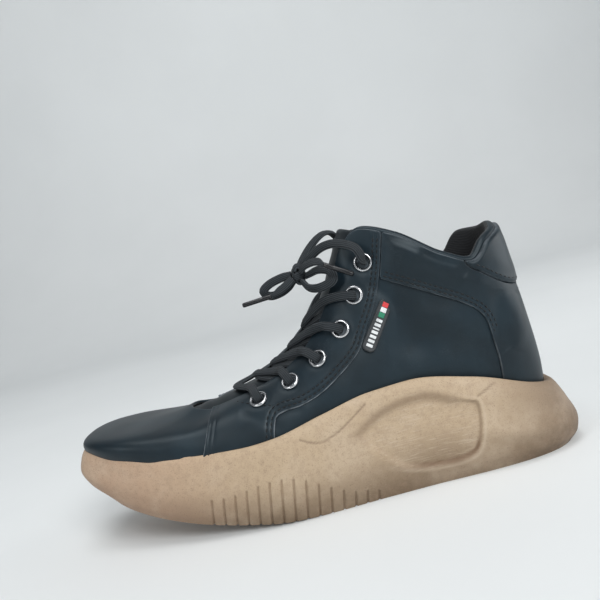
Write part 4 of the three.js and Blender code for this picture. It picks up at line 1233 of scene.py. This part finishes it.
def makeFinder(side):
    turn = np.linspace(0.002, 0.4998, 420)
    turn, climb = np.meshgrid(turn if side > 0 else 1 - turn, np.linspace(0.04, 1, 110), indexing="ij")
    grid = np.stack([turn.ravel(), climb.ravel()], 1)
    points = seenAt(*grid.T)

    def find(wanted):
        found = np.array([grid[np.argmin(((points - p) ** 2).sum(1))] for p in wanted])
        for _ in range(4):
            turn, climb = found.T
            here = seenAt(turn, climb)
            byTurn = (seenAt(turn + nudge, climb) - here) / nudge
            byClimb = (seenAt(turn, climb + nudge) - here) / nudge
            gap = wanted - here
            size = byTurn[:, 0] * byClimb[:, 1] - byTurn[:, 1] * byClimb[:, 0]
            size = np.where(np.abs(size) < 1e-3, 1e-3, size)
            turnStep = (gap[:, 0] * byClimb[:, 1] - gap[:, 1] * byClimb[:, 0]) / size
            climbStep = (byTurn[:, 0] * gap[:, 1] - byTurn[:, 1] * gap[:, 0]) / size
            found = np.stack([turn + np.clip(turnStep, -0.004, 0.004),
                              np.clip(climb + np.clip(climbStep, -0.02, 0.02), 0.02, 1)], 1)
        return found

    return find


finders = {side: makeFinder(side) for side in (1, -1)}


# Stitches: small bowed threads along lines beside the seams

stitchValues = {
    "pitch": 3.1, "length": 2.3, "radius": 0.36, "bow": 0.30, "sunk": 0.12, "around": 7, "highest": 0.985,
    # one thread as places along it and widths, both as shares
    "profile": [(-0.5, 0.35), (-0.38, 0.85), (-0.15, 1.0), (0.15, 1.0), (0.38, 0.85), (0.5, 0.35)],
    # line, distance to one side, part of the line as shares, height on the skin
    "rows": [("rear", 1.9, (0.02, 0.90), "overlay"), ("rear", 4.3, (0.02, 0.90), "overlay"),
             ("collar", 1.9, (0.02, 0.62), "overlay"), ("collar", 4.3, (0.02, 0.60), "overlay"),
             ("front", 3.0, (0.04, 0.40), "overlay"), ("front", 5.6, (0.04, 0.40), "overlay"),
             ("strap", 0.0, (0.0, 1.0), "overlay"), ("tab", 2.4, (0.04, 0.80), "tab")],
}


def offsetLine(line, distance):
    along = unit(np.gradient(line, axis=0))
    return line + np.stack([-along[:, 1], along[:, 0]], 1) * distance


def sampleLine(line, spacing, share):
    run = np.concatenate([[0], np.cumsum(np.linalg.norm(np.diff(line, axis=0), axis=1))])
    at = np.arange(run[-1] * share[0], run[-1] * share[1], spacing)
    return np.stack([np.interp(at, run, line[:, k]) for k in range(2)], 1)


def stitchMesh(centre, along, normal, values):
    at, wide = np.array(values["profile"]).T
    lift = values["bow"] * (1 - (2 * at) ** 2) - values["sunk"]
    circle = circleOf(np.cross(normal, along)[:, None], normal[:, None], values["around"])
    body = along[:, None] * (at * values["length"])[:, None] + normal[:, None] * lift[:, None]
    rings = (centre[:, None, None] + body[:, :, None]
             + circle[:, None] * (wide * values["radius"])[:, None, None])
    return joinParts([(stitch.reshape(-1, 3), tubeFaces(len(at), values["around"])) for stitch in rings])


def makeStitches(values):
    lines = {"rear": rearLine, "front": frontLine, "collar": collarLine, "tab": tabLine,
             "strap": seen([(0.192, 0.344), (0.143, 0.321), (0.100, 0.302), (0.080, 0.292)])}
    ways = {"rear": 1, "front": 1, "collar": -1, "tab": -1, "strap": 1}
    heights = {"overlay": overlayTop - 0.18, "tab": sizes["tab"] - 0.2}
    for name, side in sides.items():
        parts = []
        for key, distance, share, on in values["rows"]:
            centres = sampleLine(offsetLine(lines[key], distance * ways[key]), values["pitch"], share)
            params = finders[side](centres)
            ahead = finders[side](centres + (np.roll(centres, -1, axis=0) - centres) * 0.2)
            base, beyond = [leatherPoint(*found.T, heights[on]) for found in (params, ahead)]
            along = beyond - base
            along[-1] = along[-2]
            normal = skinNormal(*params.T)
            along -= normal * (along * normal).sum(1)[:, None]
            good = (np.linalg.norm(along, axis=1) > 1e-4) & (params[:, 1] < values["highest"])
            parts.append(stitchMesh(base[good], unit(along[good]), normal[good], values))
        points, faces = joinParts(parts)
        place(makeMesh(f"stitching_{name}", points, faces, [materials["thread"]]), "lace_cloth")


makeStitches(stitchValues)
print("stitches made")


# Eyelets: rolled metal rings

eyeletValues = {
    # radius and height in mm, from the rim inwards
    "profile": [(5.16, 0.02), (5.20, 0.30), (5.05, 0.66), (4.78, 0.94), (4.48, 1.02), (4.18, 0.90),
                (3.96, 0.58), (3.86, 0.15), (3.80, -0.6), (3.78, -1.8)],
    "around": 36, "sunk": 0.25, "wall": 0.25,
}


def makeEyelets(values):
    for name, side in sides.items():
        for index in range(6):
            seat, normal = eyeletSeat(index, side, overlayTop - values["sunk"])
            seat = seat + normal * leatherGive(seat)
            across = unit(np.cross(normal, [0, 0, 1.0]))
            circle = circleOf(across, np.cross(normal, across), values["around"])
            rings = [seat + circle * radius + normal * high for radius, high in values["profile"]]
            faces = ringFaces(len(rings), values["around"])[:, ::-1]
            piece = makeMesh(f"eyeletRing_{name}_{index + 1}", np.vstack(rings), faces,
                             [materials["eyeletMetal"]])
            solid = piece.modifiers.new("wall", "SOLIDIFY")
            solid.thickness = values["wall"] * mm
            solid.offset = -1
            place(piece, "eyelet_metal", f"eyelet_{name}_{index + 1}")


makeEyelets(eyeletValues)
print("eyelets made")


# Tongue

tongueValues = {"rings": 110, "around": 72, "fullness": 0.6, "endLength": 0.02, "channelAt": 5.5,
                "channel": 0.7, "channelWidth": 0.9, "puff": 0.5, "puffs": 11, "puffWidth": 0.6}


def makeTongue(values):
    share = np.linspace(0, 1, values["rings"])
    row = share * (len(tongueTable["half"]) - 1)
    pad = tongueShare["pad"](row) * sizes["tongue"] / 2
    half = tongueShare["half"](row) * halfBall
    angle = 2 * math.pi * np.arange(values["around"]) / values["around"]
    fullness = np.sign(np.sin(angle)) * np.abs(np.sin(angle)) ** values["fullness"]
    ends = np.sqrt(np.clip(np.minimum(share, 1 - share) / values["endLength"], 0.02, 1))
    across = -np.cos(angle)[None] * half[:, None]
    depth = pad[:, None] * (1 - fullness[None] * ends[:, None])
    front = np.sin(angle)[None] > 0.05
    inward = np.abs(np.abs(across) - (half[:, None] - values["channelAt"]))
    depth = depth + front * values["channel"] * bell(inward, 0, values["channelWidth"])
    puff = 0.5 + 0.5 * np.cos(share[:, None] * 2 * math.pi * values["puffs"])
    depth = depth - front * values["puff"] * puff * bell(across, 0, half[:, None] * values["puffWidth"])
    shares = np.repeat(share, values["around"])
    points = tonguePoint(shares, across.ravel(), depth.ravel())
    faces = tubeFaces(values["rings"], values["around"])
    piece = makeMesh("tonguePad", points, faces, [materials["tongueLeather"]])
    mark(piece, "cutEdgeAndHighlight", np.zeros(len(points)))
    return place(piece, "leather", "tongue")


makeTongue(tongueValues)
print("tongue made")


# Insole

insoleValues = {"stations": 200, "layers": [(0, 0), (0, 2.6), (0.4, 3.3), (1.4, sizes["insole"])]}


def rungFaces(count, start, up):
    # joins each station of one side with its partner on the other
    faces = []
    for i in range(count // 2):
        a, b = start + i, start + i + 1
        c, d = start + count - i - 1, start + (count - i) % count
        face = [a, b, c] if a == d else ([a, b, d] if b == c else [a, b, c, d])
        faces.append(face if up else face[::-1])
    return faces


def makeInsole(values):
    turn = np.arange(values["stations"]) / values["stations"]
    plan = skinPoint(turn, 0.0, -wallAt(turn, 0.0) - sizes["clearance"])
    rings = []
    toward = unit(np.stack([np.clip(plan[:, 0], -100, 100) - plan[:, 0], -plan[:, 1], 0 * plan[:, 2]], 1))
    for inset, rise in values["layers"]:
        ring = plan + toward * inset
        ring[:, 2] = heightOf("bed", ring[:, 0]) + sizes["clearance"] + rise
        rings.append(ring)
    faces = ringFaces(len(rings), values["stations"]).tolist()
    faces += rungFaces(values["stations"], 0, False)
    faces += rungFaces(values["stations"], (len(rings) - 1) * values["stations"], True)
    piece = makeMesh("insoleSheet", np.vstack(rings), faces, [materials["insoleCloth"]], sharp=60)
    return place(piece, "insole_cloth", "insole")


makeInsole(insoleValues)
print("insole made")


# Label: a rounded plate with generic bars

labelValues = {
    "ahead": -0.143, "high": 0.543, "tilt": 126, "length": 31, "width": 7.6,
    "lip": 0.35, "lipAt": 0.75, "lipWidth": 0.35,
    # raised bars as places and sizes along and across the plate, in mm
    "white": [(-12.0, 1.7, 3.6), (-9.4, 1.7, 3.6), (-6.8, 1.7, 3.6), (-4.2, 1.7, 3.6), (-2.1, 0.9, 3.6),
              (0.1, 1.7, 3.6), (2.7, 1.7, 3.6)],
    "blocks": [("barGreen", 6.0), ("barWhite", 9.1), ("barRed", 12.2)], "block": (2.9, 3.4), "raised": 0.35,
}


def makeLabel(values):
    centre = seen([(values["ahead"], values["high"])])[0]
    tilt = math.radians(values["tilt"])
    axis, across = np.array([math.cos(tilt), math.sin(tilt)]), np.array([-math.sin(tilt), math.cos(tilt)])
    flat = sizes["label"] - values["lip"]

    def local(point):
        rel = point[:, [0, 2]] - centre
        return rel @ axis, rel @ across

    def plate(u, v, halfLong, halfWide, corner):
        qu, qv = np.abs(u) - halfLong + corner, np.abs(v) - halfWide + corner
        return corner - (np.hypot(np.maximum(qu, 0), np.maximum(qv, 0)) + np.minimum(np.maximum(qu, qv), 0))

    def distance(params):
        u, v = local(skinAt(params[:, 0], params[:, 1]))
        return plate(u, v, values["length"] / 2, values["width"] / 2, values["width"] / 2 - 0.6)

    def height(d, params):
        lip = values["lip"] * bell(d, values["lipAt"], values["lipWidth"])
        return sizes["clearance"] + roundedTop(d, flat, 0.5, 0.55) + lip

    def spansRound(point, turnRoom, climbRoom):
        turn, climb = finders[1](point[None])[0]
        return (turn - turnRoom, turn + turnRoom), (climb - climbRoom, climb + climbRoom)

    piece, *_ = makeOverlay("labelPlate", *spansRound(centre, 0.028, 0.17), (90, 90), distance, height, 0.1,
                            [0.0, 0.2, 0.5, 1.1], [materials["labelRubber"]])
    place(piece, "label_rubber", "label_plate")
    top = sizes["clearance"] + flat
    bars = [("barWhite", at, wide, tall) for at, wide, tall in values["white"]]
    bars += [(name, at, *values["block"]) for name, at in values["blocks"]]
    for index, (name, at, wide, tall) in enumerate(bars):
        def barDistance(params, at=at, wide=wide, tall=tall):
            u, v = local(skinAt(params[:, 0], params[:, 1]))
            return plate(u - at, v, wide / 2, tall / 2, 0.25)

        def barHeight(d, params):
            return top + values["raised"] * (0.3 + 0.7 * smoothStep(d, 0, 0.2))

        spans = spansRound(centre + axis * at, 0.011, 0.06)
        piece, *_ = makeOverlay(f"labelBar{index + 1}", *spans, (40, 40), barDistance, barHeight, top - 0.3,
                                [0.0, 0.2], [materials[name]])
        place(piece, "label_rubber")


makeLabel(labelValues)
print("label made")


# Sole

soleValues = {
    "stations": 190, "panelStep": 0.7, "sipeStep": 0.42, "levels": 66, "rim": 6, "bottomAcross": 30,
    # first and last sipe and the lug grooves as shares of the sole's length; the sipes' tone is painted shade
    # in their grooves
    "sipes": (0.2365, -0.0715), "sipeDepth": 0.9, "sipeShade": 0.26,
    "lugs": (-0.09, -0.15, -0.21, -0.27, -0.33, -0.39), "lugEdge": (1.2, 2.4), "lugAcross": (0.5, 0.58),
    # fine mould lines and a soft ridge as (x, z) in mm
    "moulds": [[(14.2, 44), (5.1, 40.1), (-4.8, 42.1), (-14.3, 47.1), (-24.7, 53.6)],
               [(-86.1, 43), (-91.5, 45.1), (-97.6, 47.5)]],
    # the mould lines' tone is painted shade in their fine grooves
    "mouldDepth": 0.4, "mouldWidth": 0.45, "mouldShade": 0.6,
    "ridge": [(-84, 24.3), (-102, 18.5), (-129, 12)], "ridgeHeight": 0.9, "ridgeWidth": 4.5,
    "panelDepth": 2.1, "wallWide": 6.5, "wallCrisp": 1.5, "frameHeight": 0.6,
    "intoUpper": -0.5, "rimRoll": 1.3,
}


def sipeDepths(x, z, values):
    depth = np.zeros(np.shape(x))
    for at, top in zip(np.linspace(*values["sipes"], len(sipeTops)) * sizes["soleLength"], sipeTops):
        low = float(heightOf("tread", at))
        leaning = at + sizes["sipeLean"] * ((top + low) / 2 - z)
        half = sizes["sipeWidth"] / 2 * (1 - smoothStep(z, top - 0.8, top + 0.3))
        body = 1 - smoothStep(np.abs(x - leaning), half - 0.45, half + 0.05)
        depth = np.maximum(depth, body * (1 - smoothStep(z, top - 0.4, top + 0.3)))
    return depth


def soleTurns(values):
    # stations round the sole, closer together where the side panel and the sipes are
    ends = np.linspace(0, 0.5, values["stations"])
    span = np.concatenate([np.arange(-92, -26, values["panelStep"]), np.arange(-26, 80, values["sipeStep"])])
    fine = np.arccos(1 - 2 * placeAt(span)) / (2 * math.pi)
    outside = (ends < fine.min() - 0.001) | (ends > fine.max() + 0.001)
    half = np.unique(np.concatenate([ends[outside], fine, [0, 0.5]]))
    return np.concatenate([half, 1 - half[1:-1][::-1]])


def sideRelief(x, z, values):
    # depth of the side's forms in mm, and the masks that the gum's colours follow, among them painted shade
    # and a painted highlight
    pocket = splineThrough([*sidePanel, sidePanel[0]], 64)[:-1] * (sizes["soleLength"], sizes["soleHeight"])
    inPocket = signedDistance(x, z, pocket)
    rear = smoothStep(-x, 66, 79) * smoothStep(-z, -49, -40)
    under = smoothStep(-z, -25, -16) * smoothStep(-x, 26, 44)
    crisp = np.maximum(rear, under)
    wallWidth = values["wallWide"] + (values["wallCrisp"] - values["wallWide"]) * crisp
    sunk = smoothStep(inPocket / wallWidth, 0, 1) * (1 - 0.55 * smoothStep(x, -36, -14))
    depth = values["panelDepth"] * sunk - values["frameHeight"] * bell(inPocket, -1.5, 1.2) * crisp
    sipe = sipeDepths(x, z, values)
    depth = np.maximum(depth, values["sipeDepth"] * sipe)
    # painted shade in the sipes' grooves
    grooveShade = sipe * values["sipeShade"]
    for line in values["moulds"]:
        shape = bell(lineDistance(x, z, splineThrough(line, 24))[0], 0, values["mouldWidth"])
        depth += values["mouldDepth"] * shape
        # painted shade in the mould lines' fine grooves
        grooveShade = np.maximum(grooveShade, values["mouldShade"] * shape)
    away, share = lineDistance(x, z, splineThrough(values["ridge"], 24))
    ends = np.sin(np.clip(share + 0.15, 0, 1) * math.pi / 1.15)
    depth -= values["ridgeHeight"] * bell(away, 0, values["ridgeWidth"]) * ends
    # painted shade, partly grime: a dark line along the pocket's inner edges
    grimeAndShade = np.maximum(bell(inPocket, 1.1, 0.9) * under * smoothStep(-x, 40, 52),
                       0.35 * bell(inPocket, 0.9, 0.8) * rear)
    # painted shade on the pocket's upper wall, which faces down
    slope = bell(inPocket, 3.0, 2.6) * smoothStep(z, 28, 42) * (1 - crisp)
    # the rim mask is a painted highlight along the pocket's raised rim
    return depth, {"grooveShade": grooveShade, "scratched": smoothStep(inPocket, -5, 5),
                   "grimeAndShade": np.maximum(grimeAndShade, 0.45 * slope), "rimHighlight": bell(inPocket, -1.4, 0.8) * crisp}


def climbAtHeight(turn, height):
    low, high = np.zeros(len(turn)), np.full(len(turn), 0.8)
    for _ in range(24):
        middle = (low + high) / 2
        under = skinAt(turn, middle)[:, 2] < height
        low, high = np.where(under, middle, low), np.where(under, high, middle)
    return low


def rimRings(turn, rimPoint, values):
    # the rim rolls over to the upper, then drops into the cup
    rows = np.linspace(0, lastRow, 1200)
    row = np.interp(2 * np.minimum(turn, 1 - turn), edge["foot"](rows), rows)
    upperTurn = np.where(turn <= 0.5, row / lastRow / 2, 1 - row / lastRow / 2)
    climb = climbAtHeight(upperTurn, rimPoint[:, 2] - 0.3)
    inner = skinPoint(upperTurn, climb, values["intoUpper"])
    rings = []
    for k in range(1, values["rim"]):
        t = k / values["rim"]
        bridge = rimPoint * (1 - t) + inner * t
        bridge[:, 2] += values["rimRoll"] * math.sin(math.pi * min(1, t * 1.25)) * (1 - t)
        rings.append(bridge)
    rings.append(inner)
    for share, lift in ((0.66, 0), (0.33, 0), (0.0, 0.3)):
        rings.append(skinPoint(upperTurn, climb * share, values["intoUpper"] + lift))
    return rings


def makeSole(values):
    turn = soleTurns(values)
    count = len(turn)
    ups = smoothStep(np.linspace(0, 1, values["levels"]), -0.35, 1.12)
    ups = (ups - ups[0]) / (ups[-1] - ups[0])
    rings = []
    for up in ups:
        toeIn, heelIn, sideIn = [float(curve(up)) * sizes["sideFlare"] for curve in level.values()]
        x, y = outlinePoint(turn, toeIn, heelIn, lambda share: sideIn * section["flare"](share))
        low = heightOf("tread", x)
        rings.append(np.stack([x, y, low + (heightOf("rim", x) - low) * up], 1))
    side = np.array(rings)
    normal = np.cross(np.roll(side, -1, 1) - np.roll(side, 1, 1), np.gradient(side, axis=0))
    normal /= np.maximum(np.linalg.norm(normal, axis=2, keepdims=True), 1e-9)
    depth, masks = sideRelief(side[..., 0], side[..., 2], values)
    shown = 1 - smoothStep(np.arange(values["levels"])[:, None] / values["levels"], 0.86, 0.97)
    side = side - normal * (depth * shown)[..., None]
    masks["grooveShade"] = masks["grooveShade"] * shown
    marks = {name: list(mask) for name, mask in masks.items()}
    marks["upSide"] = [np.full(count, up) for up in ups]
    extra = rimRings(turn, side[-1], values)
    rings = [*side, *extra]
    for name in marks:
        marks[name] += [np.full(count, float(name == "upSide"))] * len(extra)
    faces = ringFaces(len(rings), count).tolist()
    faces += rungFaces(count, (len(rings) - 1) * count, True)
    points = [np.vstack(rings)]
    start = len(points[0])

    # the tread: rungs across, with the sipes and the grooves between the lugs
    steps = values["bottomAcross"]
    last = count // 2
    left, right = rings[0][:last + 1], rings[0][(-np.arange(last + 1)) % count]
    inside = []
    for k in range(1, steps):
        t = 0.5 - 0.5 * math.cos(math.pi * k / steps)
        line = left * (1 - t) + right * t
        across = np.abs(line[:, 1]) / np.maximum(np.abs(left[:, 1]), 1)
        tread = heightOf("tread", line[:, 0])
        cut = values["sipeDepth"] * sipeDepths(line[:, 0], tread + 0.5, values)
        reach = sizes["relief"] * (1 - smoothStep(across, *values["lugAcross"]))
        for ahead in values["lugs"]:
            away = np.abs(line[:, 0] - ahead * sizes["soleLength"])
            cut = np.maximum(cut, reach * (1 - smoothStep(away, *values["lugEdge"])))
        line[:, 2] = tread + cut
        inside.append(line[1:-1])
    inside = np.array(inside)
    points.append(inside.reshape(-1, 3))
    for name in marks:
        # painted shade: the tread's underside gets a faint groove tone and the full low tone
        marks[name].append(np.full(inside.shape[0] * inside.shape[1], 0.1 * (name == "grooveShade")))

    def bottomId(k, i):
        if k == 0 or i in (0, last):
            return i if i <= last else count - i
        if k == steps:
            return (count - i) % count
        return start + (k - 1) * (last - 1) + (i - 1)

    for k in range(steps):
        for i in range(last):
            quad = [bottomId(k, i), bottomId(k + 1, i), bottomId(k + 1, i + 1), bottomId(k, i + 1)]
            face = [v for n, v in enumerate(quad) if v != quad[n - 1]]
            if len(face) > 2:
                faces.append(face)
    piece = makeMesh("gumSole", np.vstack(points), faces, [materials["gumRubber"]], sharp=55)
    for name, shares in marks.items():
        mark(piece, name, np.concatenate(shares))
    return place(piece, "gum_rubber", "sole")


makeSole(soleValues)
print("sole made")


# Floor, backdrop and light

stageValues = {"front": 5.0, "back": -1.1, "bend": 0.7, "wide": 8.0, "high": 4.0, "below": 0.02,
               "world": 0.24,
               # name, place, aim, size and power
               "lights": [("key", (-0.65, 1.6, 1.35), (0, 0, 0.06), 1.1, 27),
                          ("left", (1.3, 1.3, 0.8), (0, 0, 0.06), 0.7, 6),
                          ("heel", (-1.4, -0.1, 0.2), (-0.12, 0, 0.09), 1.1, 7),
                          ("top", (0.1, 0.2, 1.7), (0, 0, 0), 1.0, 4),
                          ("backdrop", (0, 0.2, 1.8), (0, -1.6, 0.8), 1.2, 11)]}


def makeStage(values):
    angle = np.linspace(0, math.pi / 2, 16)
    back, bend = values["back"], values["bend"]
    curved = [(back - bend * math.sin(a), bend * (1 - math.cos(a))) for a in angle]
    profile = [(values["front"], 0.0), *curved, (back - bend, values["high"])]
    points = [(x / mm, y / mm, z / mm - values["below"])
              for y, z in profile for x in (-values["wide"], values["wide"])]
    faces = [[2 * k, 2 * k + 1, 2 * k + 3, 2 * k + 2] for k in range(len(profile) - 1)]
    floor = makeMesh("floorSheet", points, faces, [materials["floorPaper"]])
    world = bpy.data.worlds.new("softSky")
    world.use_nodes = True
    background = world.node_tree.nodes["Background"]
    background.inputs["Color"].default_value = (0.93, 0.965, 1.0, 1)
    background.inputs["Strength"].default_value = values["world"]
    bpy.context.scene.world = world
    for name, spot, aimed, size, power in values["lights"]:
        data = bpy.data.lights.new(name, "AREA")
        data.shape = "DISK"
        data.size = size
        data.energy = power
        lamp = bpy.data.objects.new(name, data)
        lamp.location = spot
        aim = Vector(aimed) - Vector(spot)
        lamp.rotation_euler = aim.to_track_quat("-Z", "Y").to_euler()
        bpy.context.scene.collection.objects.link(lamp)
    bpy.context.scene.view_settings.view_transform = "Standard"


makeStage(stageValues)
print("stage made")
